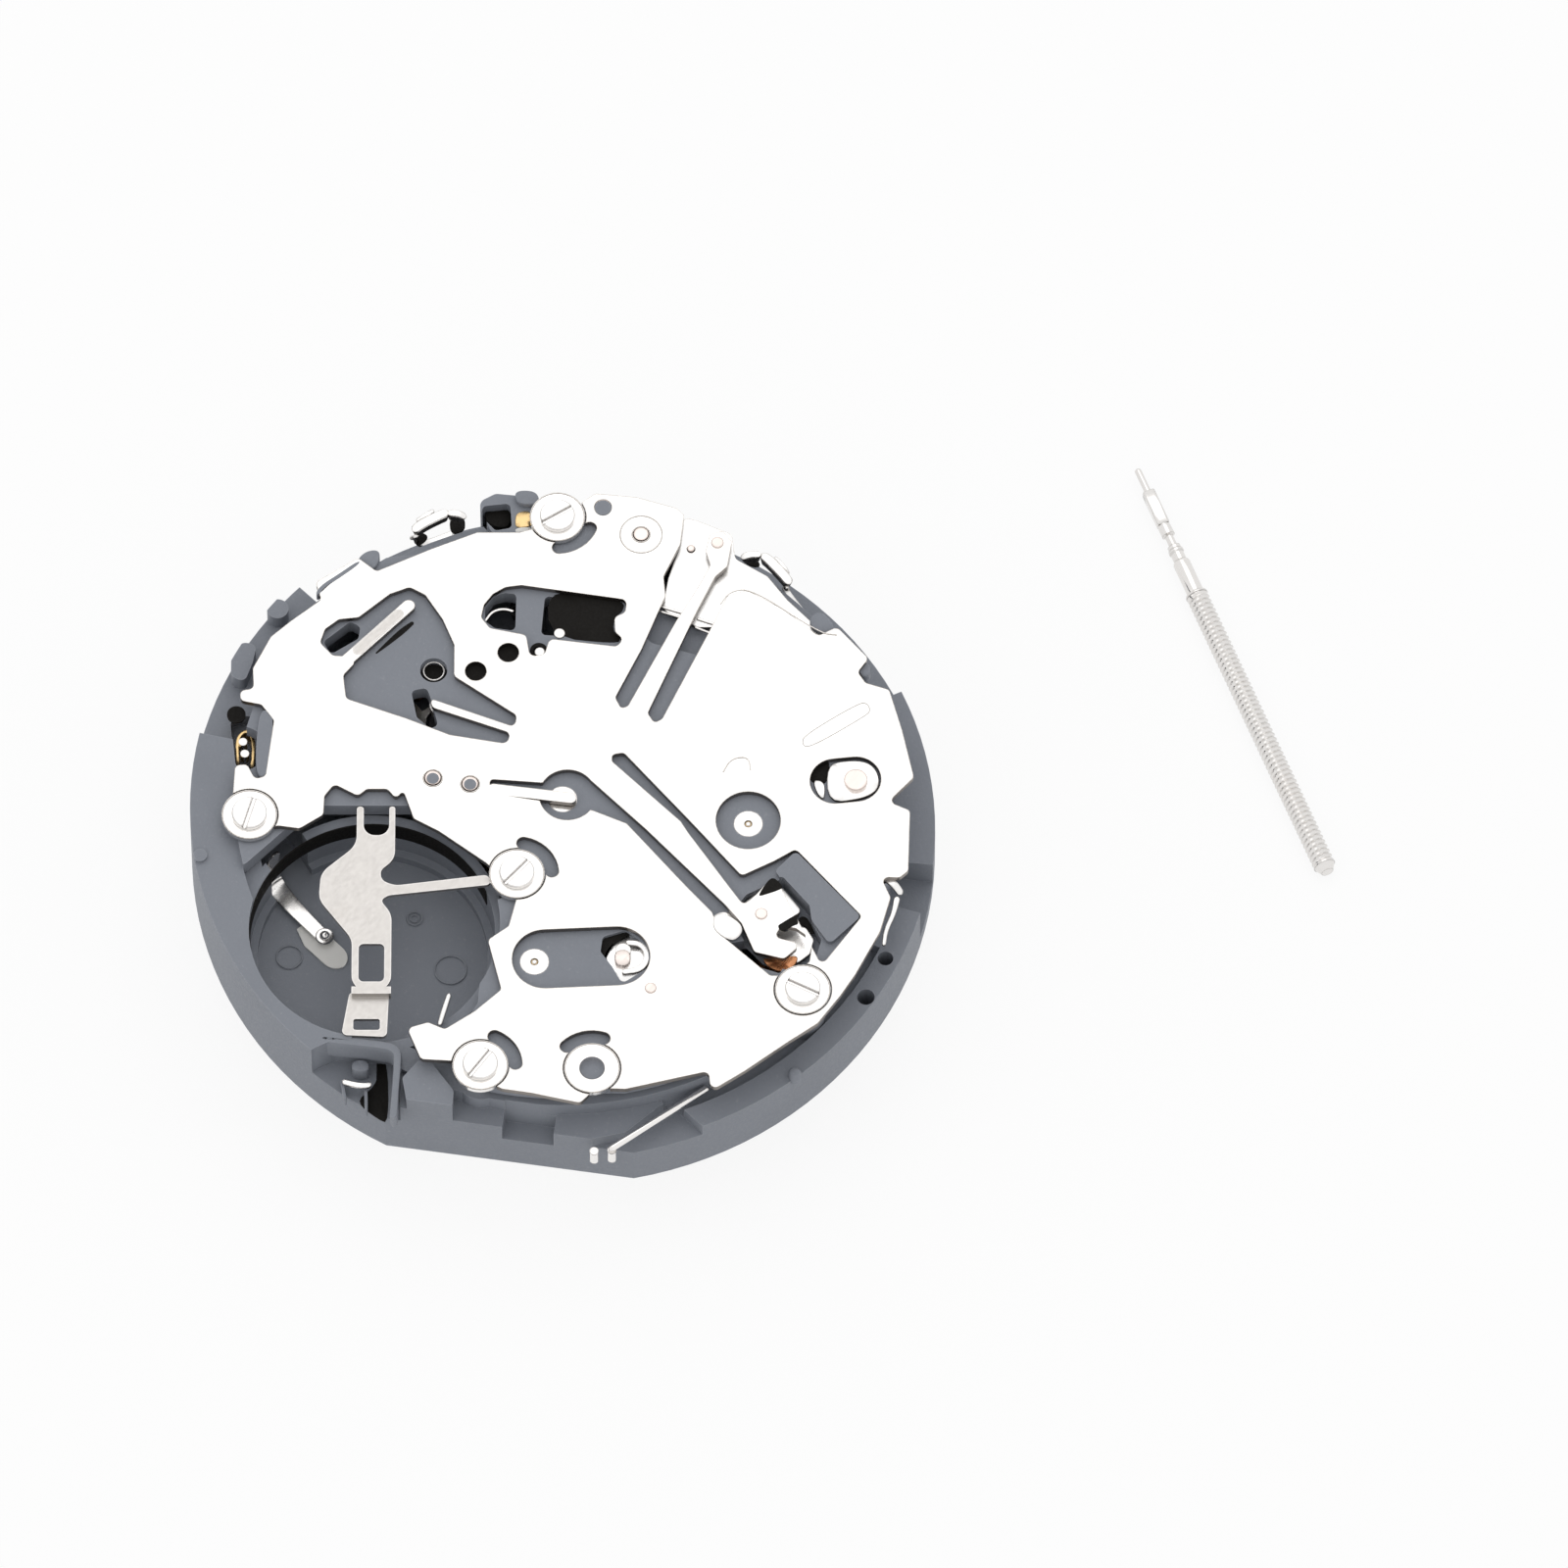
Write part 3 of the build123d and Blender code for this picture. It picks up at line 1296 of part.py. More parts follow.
setting_pivot = (10.4, -2.6)
yoke_pivot = (9.6, 3.0)
setting_thickness = 0.2
setting_low = stem_level - setting_thickness / 2
setting_high = stem_level + setting_thickness / 2
setting_boss, setting_arm, yoke_finger_width = 0.6, 0.5, 0.26
setting_nose, setting_tail = (9.35, -0.75), (8.3, -3.6)
yoke_elbow_y, yoke_tip_y = 1.9, 0.72


def make_setting_lever():
    body = disc(setting_boss, setting_low, setting_high, setting_pivot)
    for end in (setting_nose, setting_tail):
        body += bar(setting_pivot, end, setting_arm, setting_low, setting_high)
    return body - disc(stud_radius + running_gap, 0, rim_top, setting_pivot)


def make_yoke():
    groove_x = pinion_x + pinion_length / 2
    elbow, tip = (groove_x, yoke_elbow_y), (groove_x, yoke_tip_y)
    body = disc(setting_boss, setting_low, setting_high, yoke_pivot)
    body += bar(yoke_pivot, elbow, setting_arm, setting_low, setting_high)
    body += bar(elbow, tip, yoke_finger_width, setting_low, setting_high)
    return body - disc(stud_radius + running_gap, 0, rim_top, yoke_pivot)


def make_sliding_pinion():
    """The sliding pinion on the stem's line: two toothed collars with the yoke's groove between."""
    collar = (pinion_length - pinion_groove_width) / 2
    module = 2 * (pinion_radius - hub_wall) / setting_teeth
    flat = gear((0, 0), setting_teeth, module, 0, 0, collar)
    body = flat + disc(pinion_groove_radius, 0, pinion_length)
    body += Pos(0, 0, pinion_length - collar) * flat
    body -= disc(pinion_bore_radius, -overrun, pinion_length + overrun)
    return Pos(pinion_x, 0, stem_level) * Rot(0, 90, 0) * body


# Pusher contact springs at the stem side
contact_thickness = 0.12
contact_width = 1.7
contact_reach = body_radius + contact_thickness + running_gap
contact_angles = {"start_contact": -29.5, "reset_contact": 30.5}


def make_pusher_contact(angle):
    """A leaf that stands in the pusher's way: foot, bend and upright tab, drawn along +X."""
    height = plate_top - contact_drop
    half = contact_width / 2
    foot_bottom = body_top + press_gap
    foot = block(contact_reach - contact_foot, contact_reach, -half, half,
                 foot_bottom, foot_bottom + contact_thickness)
    tab = block(contact_reach - contact_thickness, contact_reach, -half, half, contact_low, height)
    return Rot(0, 0, angle) * (foot + tab)


contact_low = 2.6
contact_drop = 0.4
contact_foot = 0.7
notch_depth = 0.55


def contact_notch(angle):
    """The notch of the base's wall behind a pusher contact, which leaves the contact room to give."""
    half = contact_width / 2 + side_gap
    high = body_top - contact_thickness
    room = block(body_radius - notch_depth, body_radius + overrun, -half, half,
                 contact_low - side_gap, high)
    return Rot(0, 0, angle) * room


# Battery clamp
clamp_drop = 0.22
clamp_level = plate_bottom - clamp_drop
clamp_thickness = 0.18
clamp_foot_low = 4.13
clamp_drop_px = [(362, 1005), (402, 1005), (402, 1012), (362, 1012)]
clamp_foot_px = [(360, 1013), (400, 1013), (398, 1058), (352, 1056)]
clamp_foot_hole_px = [(364, 1040), (391, 1040), (391, 1051), (364, 1051)]
clamp_px = [
    (366, 823), (373, 823), (373, 852), (399, 852), (399, 823), (405, 823), (405, 876), (390, 888),
    (392, 898), (405, 903), (500, 892), (503, 902), (398, 913), (391, 918), (402, 932), (402, 1010),
    (362, 1010), (362, 957), (328, 917), (330, 890), (366, 862),
]
clamp_corner = 0.9
clamp_axis_px = (385, 826)
clamp_window_px = [(369, 962), (395, 962), (395, 1000), (369, 1000)]


def make_battery_clamp():
    """The formed strip over the cell, its two prongs, its side arm and its hooked foot."""
    low, high = clamp_level, clamp_level + clamp_thickness
    body = photo_solid(clamp_px, low, high, clamp_corner)
    window = photo_face(clamp_window_px, high, slot_corner)
    body -= solid_between(window, low - overrun, high + overrun)
    drop = photo_face(clamp_drop_px, high, 0)
    body += solid_between(drop, clamp_foot_low, high)
    foot_face = photo_face(clamp_foot_px, clamp_foot_low, slot_corner)
    hole = photo_face(clamp_foot_hole_px, clamp_foot_low, fine_corner)
    foot = solid_between(foot_face, clamp_foot_low, clamp_foot_low + clamp_thickness)
    foot -= solid_between(hole, clamp_foot_low - overrun, clamp_foot_low + overrun)
    return largest(body + foot)


dimple_radius = 0.32
dimple_height = 0.24
spring_root_drop = 0.07
spring_root_share = 0.9


def make_negative_spring():
    """The negative contact: a leaf over the well's floor with a dimple at its tip."""
    low = spring_level
    root, tip = spots(spring_px, low)
    body = bar(root, tip, spring_width, low, low + spring_thickness)
    body += disc(dimple_radius, low, low + dimple_height, tip)
    body += disc(spring_root_share * spring_width, low - spring_root_drop, low + spring_thickness, root)
    return body


brass_px, brass_turn = (252, 766), 8
brass_length, brass_width, brass_height = 1.1, 0.5, 1.0
brass_top = contact_pocket_floor + brass_height
contact_pins_px = [(249, 757), (251, 769)]
contact_pin_radius, contact_pin_height = 0.17, 0.5


def make_contact_block():
    """The brass contact beside the frame at the left."""
    place = spot(*brass_px, brass_top)
    bar_body = Box(brass_length, brass_width, brass_height, align=(Align.CENTER, Align.CENTER, Align.MIN))
    return Pos(place[0], place[1], contact_pocket_floor) * Rot(0, 0, brass_turn) * bar_body


def make_contact_pins():
    """The two silver pins that stand on the brass contact."""
    low, high = brass_top + press_gap, brass_top + contact_pin_height
    return [disc(contact_pin_radius, low, high, spot(x_px, y_px, high)) for x_px, y_px in contact_pins_px]


wire_radius = 0.14
wire_level = 3.1


def rod(start, end, radius):
    """A round rod between two points in space."""
    span = Vector(*end) - Vector(*start)
    return Plane(origin=Vector(*start), z_dir=span) * Cylinder(
        radius, span.length, align=(Align.CENTER, Align.CENTER, Align.MIN))


wire_px = [(722, 1108), (626, 1168)]


def make_wire_spring():
    """The thin wire spring along the lower right rim, straight, with a round end."""
    root, tip = [(*spot(x_px, y_px, wire_level), wire_level) for x_px, y_px in wire_px]
    return rod(root, tip, wire_radius) + Pos(*tip) * Sphere(wire_radius)


wire_studs_px = [(608, 1171), (626, 1170)]
wire_stud_radius = 0.18
wire_stud_top = wire_level - wire_radius


def make_wire_studs():
    """The two small studs that hold the wire spring's end."""
    low = wire_pocket_floor + press_gap
    return [disc(wire_stud_radius, low, wire_stud_top, spot(x_px, y_px, wire_stud_top))
            for x_px, y_px in wire_studs_px]


rivets_px = [(654, 545, 7.5), (443, 794, 8), (481, 800, 8), (615, 517, 8), (873, 796, 12)]
rivet_rise = 0.05


def make_rivets():
    """Riveted studs and round pins whose heads show in the steel plate."""
    pieces = []
    for x_px, y_px, head_px in rivets_px:
        place = spot(x_px, y_px, plate_top)
        pieces.append(disc(head_px * mm_per_px, frame_top + press_gap, plate_top + rivet_rise, place))
    return pieces


stem_collar_back, stem_cone_drop = 0.55, 0.2
groove_count, groove_depth, groove_half = 12, 0.07, 0.06
stem_rest = -seconds_post_length + stem_lip_radius
stem_tip_px = (1164, 476)
stem_end_px = (1355, 889)


def make_stem():
    """The loose setting stem, lying on the surface beside the movement."""
    parts = [
        (stem_pilot_radius, stem_pilot_length), (0, stem_square_length),
        (stem_neck_radius, stem_neck_length), (stem_hub_radius, stem_hub_length),
        (stem_lip_radius, stem_lip_length), (stem_thread_radius, stem_thread_length),
    ]
    height = 0
    body = None
    for radius, length in parts:
        if radius:
            piece = disc(radius, height, height + length)
        else:
            half = stem_square_side / 2
            piece = block(-half, half, -half, half, height, height + length)
        body = piece if body is None else body + piece
        height += length
    collar_low = stem_pilot_length + stem_square_length + stem_neck_length - stem_collar_back
    body += disc(stem_collar_radius, collar_low, collar_low + stem_collar_length)
    cone = Cone(stem_thread_radius, stem_thread_radius - stem_cone_drop, stem_cone_length,
                align=(Align.CENTER, Align.CENTER, Align.MIN))
    body += Pos(0, 0, height) * cone
    pitch = stem_thread_length / (groove_count + 1)
    for i in range(groove_count):
        middle = height - stem_thread_length + pitch * (i + 1)
        body -= ring(2 * stem_thread_radius, stem_thread_radius - groove_depth,
                     middle - groove_half, middle + groove_half)
    tip, end = spot(*stem_tip_px, stem_rest), spot(*stem_end_px, stem_rest)
    turn = math.degrees(math.atan2(end[1] - tip[1], end[0] - tip[0]))
    return Pos(tip[0], tip[1], stem_rest) * Rot(0, 0, turn) * Rot(0, 90, 0) * body


def write(name, pieces):
    pieces = pieces if isinstance(pieces, list) else [pieces]
    solids = [solid for piece in pieces for solid in piece.solids()]
    export_step(Compound(children=solids) if len(solids) > 1 else solids[0], f"parts/{name}.step")
    total = sum(solid.volume for solid in solids)
    print(name, len(solids), round(total, 3))


def make_all():
    set_turns()
    write("main_plate", make_main_plate())
    write("upper_frame", make_upper_frame())
    write("top_plate", make_top_plate())
    write("plate_screws", make_screws())
    write("plate_pillars", make_pillars())
    write("pivot_bushes", make_bushes())
    write("plate_rivets", make_rivets())
    write("operating_lever", make_operating_lever())
    write("lever_studs", make_lever_studs())
    write("hammer", make_hammer())
    write("reset_lever", make_reset_lever())
    write("centre_wheel", make_centre_wheel())
    write("cannon_pinion", make_cannon_pinion())
    write("hour_wheel", make_hour_wheel())
    write("minute_wheel", make_minute_wheel())
    write("motion_studs", make_motion_studs())
    write("setting_wheel", simple_gear(setting_arbor, setting_teeth, motion_module,
                                       turns["setting"], date_level, counter_level + motion_thickness))
    write("intermediate_setting_wheel", simple_gear(second_setting_arbor, second_setting_teeth,
                                                    motion_module, turns["second_setting"],
                                                    date_level - tooth_overlap,
                                                    counter_level + motion_thickness + tooth_overlap))
    write("date_intermediate_wheel", make_date_between())
    write("date_driving_wheel", make_date_wheel())
    write("date_ring", make_date_ring())
    write("date_jumper", make_date_jumper())
    write("calendar_guard", make_guard_plate())
    write("small_seconds_wheel", make_small_seconds_wheel())
    write("third_wheel", make_third_wheel())
    write("step_wheel", make_step_wheel())
    write("rotor", rotor(rotor_arbor, turns["rotor"], seconds_module, step_level - hub_wall, arbor_top))
    write("chrono_rotor", rotor(chrono_rotor_arbor, turns["chrono_rotor"], drive_module,
                                chrono_level - hub_wall, blind_arbor_top))
    write("chrono_wheel", make_chrono_wheel())
    write("chrono_drive_wheel", make_chrono_drive_wheel())
    write("chrono_seconds_arbor", make_chrono_seconds())
    write("counting_wheel", make_counting_wheel())
    write("minute_counter_arbor", make_minute_counter())
    for name, place, angle in (("time", rotor_arbor, time_motor_angle),
                               ("chrono", chrono_rotor_arbor, chrono_motor_angle)):
        write(name + "_stator", make_stator(place, angle))
        write(name + "_coil_core", make_core(place, angle))
        write(name + "_coil_winding", make_winding(place, angle))
    write("circuit_board", make_circuit_board())
    write("quartz_crystal", make_crystal())
    write("control_chip", make_chip())
    write("setting_lever", make_setting_lever())
    write("yoke", make_yoke())
    write("sliding_pinion", make_sliding_pinion())
    for name, angle in contact_angles.items():
        write(name, make_pusher_contact(angle))
    write("battery_clamp", make_battery_clamp())
    write("negative_spring", make_negative_spring())
    write("contact_block", make_contact_block())
    write("contact_pins", make_contact_pins())
    write("wire_spring", make_wire_spring())
    write("wire_studs", make_wire_studs())
    write("setting_stem", make_stem())
    print_places()


def print_places():
    """Prints the places on which hinges turn."""
    places = dict(bearing_places())
    places.update(minute=minute_arbor, setting=setting_arbor, second_setting=second_setting_arbor)
    places.update(date_between=date_between, date=date_arbor)
    places["operating_pivot"] = spot(*operating_pivot_px, lever_bottom + lever_thickness)
    places["reset_pivot"] = spot(*reset_pivot_px, reset_low + reset_thickness)
    places["clamp_axis"] = spot(*clamp_axis_px, clamp_level + clamp_thickness)
    places["spring_root"], places["spring_tip"] = spots(spring_px, spring_level)
    tip, end = spot(*stem_tip_px, stem_rest), spot(*stem_end_px, stem_rest)
    places["stem_tip"] = tip
    places["stem_end"] = end
    places["stem_turn"] = (math.degrees(math.atan2(end[1] - tip[1], end[0] - tip[0])),)
    for name, place in places.items():
        print("arbor", name, [round(value, 5) for value in place])


os.makedirs("parts", exist_ok=True)
make_all()
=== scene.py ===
"""Quartz chronograph movement with its loose setting stem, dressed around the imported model.

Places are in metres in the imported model's frame: +Z is the battery side and +X the crown side. Places
and lengths named px are in the 1600 px photograph. Levels are heights over the dial seat, and they and
a piece's own small sizes are in millimetres.
"""
from __future__ import annotations

import json
import logging
import math
from dataclasses import dataclass, field
from enum import Enum
from functools import cache

import bmesh
import bpy
import numpy as np
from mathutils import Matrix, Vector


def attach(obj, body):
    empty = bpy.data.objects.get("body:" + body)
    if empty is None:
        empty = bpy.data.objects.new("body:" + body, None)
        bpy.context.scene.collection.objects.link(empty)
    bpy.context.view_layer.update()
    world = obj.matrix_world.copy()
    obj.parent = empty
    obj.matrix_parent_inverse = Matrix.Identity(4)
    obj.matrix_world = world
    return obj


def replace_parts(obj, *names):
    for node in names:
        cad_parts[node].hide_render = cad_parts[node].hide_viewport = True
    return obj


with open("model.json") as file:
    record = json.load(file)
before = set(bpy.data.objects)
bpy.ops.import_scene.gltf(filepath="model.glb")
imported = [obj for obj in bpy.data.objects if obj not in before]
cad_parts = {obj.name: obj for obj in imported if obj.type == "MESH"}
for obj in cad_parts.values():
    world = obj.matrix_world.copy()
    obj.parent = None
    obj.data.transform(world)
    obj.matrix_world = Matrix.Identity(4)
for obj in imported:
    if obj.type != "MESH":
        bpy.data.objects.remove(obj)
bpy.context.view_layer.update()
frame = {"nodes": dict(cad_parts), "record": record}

log = logging.getLogger("movement")
MM = 1e-3
TURN = 2 * math.pi
UP = np.array([0.0, 0.0, 1.0])
WHITE = (1.0, 1.0, 1.0, 1.0)
Grid = np.ndarray
Socket = bpy.types.NodeSocket
Colour = tuple[float, float, float]
Pixel = tuple[float, float]
Ring = tuple[Pixel, ...]
Run = tuple[tuple[float, float, float, float], ...]
Rows = tuple[tuple[float, ...], ...]


class Body(str, Enum):
    """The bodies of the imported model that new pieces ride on."""

    MOVEMENT = "movement"
    STEM = "setting_stem_body"
    NEGATIVE = "negative_spring_body"
    RESET_LEVER = "reset_lever_body"
    START = "start_contact_body"
    RESET = "reset_contact_body"
    SECONDS = "small_seconds_wheel_body"
    COUNTER = "minute_counter_arbor_body"


class Slot(str, Enum):
    """The record's material slots that new pieces take their finish from."""

    PLASTIC = "grey_plastic"
    PLATE = "bright_steel"
    SCREW = "screw_steel"
    LEVER = "lever_steel"
    CLAMP = "clamp_steel"
    BRASS = "brass"
    ARBOR = "arbor_steel"
    COPPER = "copper_wire"
    RIVET = "rivet_steel"
    BLACK = "chip_black"
    WHITE = "white_plastic"


def bearing(azimuth_deg: float, elevation_deg: float) -> Grid:
    """The unit vector towards a bearing and a height over the horizon, counted as the camera's are."""
    a, e = math.radians(azimuth_deg), math.radians(elevation_deg)
    return np.array([math.sin(a) * math.cos(e), -math.cos(a) * math.cos(e), math.sin(e)])


@dataclass(frozen=True)
class PhotoView:
    """The photographer's long lens, and the places of photographed points."""

    azimuth_deg: float = -81.5
    elevation_deg: float = 62.1
    movement_radius: float = 14.7 * MM
    movement_radius_px: float = 379.0
    origin_px: Pixel = (575.0, 871.0)
    image_px: float = 1600.0
    lens_mm: float = 600.0
    sensor_mm: float = 36.0
    near_share: float = 0.01
    far_share: float = 10.0

    @property
    def metres_per_px(self) -> float:
        """The length in metres that a pixel of the photograph spans."""
        return self.movement_radius / self.movement_radius_px

    def axes(self) -> tuple[Grid, Grid, Grid]:
        """Image right, image up and the way back to the lens, as unit vectors."""
        back, right = bearing(self.azimuth_deg, self.elevation_deg), bearing(self.azimuth_deg + 90, 0)
        return right, np.cross(back, right), back

    def spot(self, x_px: float, y_px: float, level: float) -> Grid:
        """The place at a level that a photographed point shows.

        Args:
            x_px: Pixel across the photograph.
            y_px: Pixel down the photograph.
            level: Height over the dial seat in millimetres.
        Returns:
            The place in metres.
        """
        right, up, _ = self.axes()
        across = (x_px - self.origin_px[0]) * self.metres_per_px
        rise = (self.origin_px[1] - y_px) * self.metres_per_px - level * MM * up[2]
        x, y = np.linalg.solve(np.array([right[:2], up[:2]]), [across, rise])
        return np.array([x, y, level * MM])

    def spots(self, ring: Ring, level: float) -> Grid:
        """Places of several photographed points at one level, one row each."""
        return np.array([self.spot(x, y, level) for x, y in ring])

    def stand(self) -> None:
        """Makes the scene's camera, aimed so that the dial seat's centre falls on its pixel."""
        right, up, back = self.axes()
        half = self.image_px / 2
        aim = right * (half - self.origin_px[0]) * self.metres_per_px
        aim = aim + up * (self.origin_px[1] - half) * self.metres_per_px
        reach = self.image_px * self.metres_per_px * self.lens_mm / self.sensor_mm
        lens = bpy.data.cameras.new("photo_lens")
        lens.lens, lens.sensor_width = self.lens_mm, self.sensor_mm
        lens.clip_start, lens.clip_end = self.near_share * reach, self.far_share * reach
        camera = bpy.data.objects.new("photo_camera", lens)
        bpy.context.scene.collection.objects.link(camera)
        pose = np.eye(4)
        pose[:3] = np.column_stack([right, up, back, aim + back * reach])
        camera.matrix_world = Matrix(pose.tolist())
        bpy.context.scene.camera = camera


VIEW = PhotoView()
# The millimetres that a pixel of the photograph spans
PX = VIEW.metres_per_px / MM


class Board:
    """A node tree that is being wired: one call adds a node, sets its values and links its inputs."""

    def __init__(self, tree: bpy.types.NodeTree) -> None:
        """Keeps the tree that nodes are added to."""
        self.tree = tree

    def feed(self, node: bpy.types.Node, inputs: dict) -> None:
        """Gives inputs of a node their values, or links the outputs that feed them.

        Args:
            node: The node.
            inputs: Values or outputs for its inputs, by the inputs' names or numbers.
        """
        for name, value in inputs.items():
            if isinstance(value, Socket):
                self.tree.links.new(value, node.inputs[name])
            else:
                node.inputs[name].default_value = value

    def add(self, kind: str, inputs: dict | None = None, **values) -> bpy.types.Node:
        """Adds a node.

        Args:
            kind: Blender's type name of the node.
            inputs: Values or outputs for its inputs, by the inputs' names or numbers.
            values: Attributes of the node.
        Returns:
            The node.
        """
        node = self.tree.nodes.new(kind)
        for name, value in values.items():
            setattr(node, name, value)
        self.feed(node, inputs or {})
        return node

    def maths(self, operation: str, first: Socket | float, second: Socket | float,
              clamp: bool = False) -> Socket:
        """A number worked out from two numbers or outputs."""
        return self.add("ShaderNodeMath", {0: first, 1: second}, operation=operation,
                        use_clamp=clamp).outputs[0]

    def tint(self, mask: Socket, share: float, base: Socket | Colour, over: Colour) -> Socket:
        """A base colour with another laid over it.

        Args:
            mask: Where the other colour lies.
            share: How much of it shows there.
            base: The base colour.
            over: The other colour.
        Returns:
            The colour.
        """
        # By number, because this node has an input of each name for every type of data
        inputs = {0: self.maths("MULTIPLY", mask, share), 6: base, 7: over}
        padded = {place: (*value, 1.0) if isinstance(value, tuple) else value
                  for place, value in inputs.items()}
        return self.add("ShaderNodeMix", padded, data_type="RGBA").outputs[2]

    def spread(self, value: Socket, low: float, high: float, to_low: float, to_high: float) -> Socket:
        """A number carried from one span to another and kept inside it."""
        return self.add("ShaderNodeMapRange", {0: value, 1: low, 2: high, 3: to_low, 4: to_high}).outputs[0]

    def noise(self, vector: Socket, scale: Socket, detail: float, roughness: float = 0.5) -> Socket:
        """Noise from 0 to 1, its scale counted to the metre."""
        return self.add("ShaderNodeTexNoise", {
            "Vector": vector, "Scale": scale, "Detail": detail, "Roughness": roughness}).outputs[0]

    def effect(self, tree: bpy.types.NodeTree, vector: Socket, **numbers: float) -> Socket:
        """The mask of a shared effect, placed with the output that feeds its vector and its numbers."""
        return self.add("ShaderNodeGroup", {"Vector": vector, **numbers}, node_tree=tree).outputs["Mask"]

    def seen(self) -> Socket:
        """Tells what is seen from what only lights the object.

        Returns:
            1 for a ray of the lens or one that metal or glass sends on, and 0 for any other.
        """
        ray = self.add("ShaderNodeLightPath").outputs
        straight = self.maths("MAXIMUM", ray["Is Camera Ray"], ray["Is Glossy Ray"])
        return self.maths("MAXIMUM", straight, ray["Is Transmission Ray"])

    def output(self, kind: str, share: Socket, first: bpy.types.Node, second: bpy.types.Node) -> None:
        """Puts two shaders out, mixed by a share."""
        both = self.add("ShaderNodeMixShader", {0: share, 1: first.outputs[0], 2: second.outputs[0]})
        self.add(kind, {0: both.outputs[0]})


def blank(thing: bpy.types.Material | bpy.types.World) -> Board:
    """Empties the node tree of a new material or world.

    Args:
        thing: The material or world.
    Returns:
        Its tree, as a board.
    """
    thing.use_nodes = True
    thing.node_tree.nodes.clear()
    return Board(thing.node_tree)


class Effects:
    """The shared effects, each a node group that is built once and used by many finishes."""

    middle = 0.5
    cloud_gain = 4.0
    side_gain = 3.0

    @staticmethod
    def group(name: str, **numbers: float) -> tuple[Board, bpy.types.NodeOutputs]:
        """Starts a group with a vector input, named number inputs and a mask output.

        Args:
            name: The group's name.
            numbers: Names and usual values of its number inputs.
        Returns:
            The group's board and what it is given.
        """
        tree = bpy.data.node_groups.new(name, "ShaderNodeTree")
        tree.interface.new_socket("Vector", in_out="INPUT", socket_type="NodeSocketVector")
        for label, usual in numbers.items():
            socket = tree.interface.new_socket(label, in_out="INPUT", socket_type="NodeSocketFloat")
            socket.default_value = usual
        tree.interface.new_socket("Mask", in_out="OUTPUT", socket_type="NodeSocketFloat")
        board = Board(tree)
        return board, board.add("NodeGroupInput").outputs

    @staticmethod
    def ended(board: Board, mask: Socket) -> bpy.types.NodeTree:
        """Ends a group by putting its mask out."""
        board.add("NodeGroupOutput", {"Mask": mask})
        return board.tree

    @staticmethod
    @cache
    def grain() -> bpy.types.NodeTree:
        """Fine grain: noise of one size, stretched about its middle value by the contrast.

        Returns:
            The group.
        """
        board, given = Effects.group("fine_grain", Scale=9000.0, Contrast=1.0)
        noise = board.noise(given["Vector"], given["Scale"], detail=3.0)
        apart = board.maths("SUBTRACT", noise, Effects.middle)
        strong = board.maths("MULTIPLY", apart, given["Contrast"])
        return Effects.ended(board, board.maths("ADD", strong, Effects.middle, clamp=True))

    @staticmethod
    @cache
    def rolled() -> bpy.types.NodeTree:
        """Rolling lines of sheet metal: noise drawn out along one direction by the stretch.

        Returns:
            The group.
        """
        board, given = Effects.group("rolled_lines", Scale=6000.0, Stretch=0.06, Turn=0.0)
        spun = board.add("ShaderNodeVectorRotate", {"Vector": given["Vector"], "Angle": given["Turn"]},
                         rotation_type="Z_AXIS")
        parts = board.add("ShaderNodeSeparateXYZ", {0: spun.outputs[0]}).outputs
        along = board.maths("MULTIPLY", parts[0], given["Stretch"])
        drawn = board.add("ShaderNodeCombineXYZ", {0: along, 1: parts[1], 2: parts[2]})
        return Effects.ended(board, board.noise(drawn.outputs[0], given["Scale"], detail=2.0))

    @staticmethod
    @cache
    def cloudy() -> bpy.types.NodeTree:
        """Slow changes of tone: broad noise whose upper part alone shows, as handling marks do.

        Returns:
            The group.
        """
        board, given = Effects.group("cloudy_tone", Scale=300.0, Threshold=0.5)
        noise = board.noise(given["Vector"], given["Scale"], detail=4.0, roughness=0.6)
        above = board.maths("SUBTRACT", noise, given["Threshold"])
        return Effects.ended(board, board.maths("MULTIPLY", above, Effects.cloud_gain, clamp=True))

    @staticmethod
    @cache
    def shaded_sides() -> bpy.types.NodeTree:
        """Painted shade on upright sides, such as the sheared sides of sheet: one where the surface stands
        upright and none where it lies flat.

        Returns:
            The group.
        """
        board, given = Effects.group("painted_side_shade", Onset=0.35)
        parts = board.add("ShaderNodeSeparateXYZ", {0: given["Vector"]})
        upright = board.maths("SUBTRACT", 1.0, board.maths("ABSOLUTE", parts.outputs[2], 0.0))
        late = board.maths("SUBTRACT", upright, given["Onset"])
        return Effects.ended(board, board.maths("MULTIPLY", late, Effects.side_gain, clamp=True))

    @staticmethod
    @cache
    def painted_edges() -> bpy.types.NodeTree:
        """Edges for painted shade and painted highlights: how far the normal of a rounded edge leaves the
        face's own normal.

        Returns:
            The group.
        """
        board, given = Effects.group("painted_edge_shading", Radius=3e-5, Gain=3.0)
        rounded = board.add("ShaderNodeBevel", {"Radius": given["Radius"]}, samples=4)
        plain = board.add("ShaderNodeNewGeometry")
        along = board.add("ShaderNodeVectorMath", {0: rounded.outputs[0], 1: plain.outputs["Normal"]},
                          operation="DOT_PRODUCT")
        apart = board.maths("SUBTRACT", 1.0, along.outputs["Value"])
        return Effects.ended(board, board.maths("MULTIPLY", apart, given["Gain"], clamp=True))


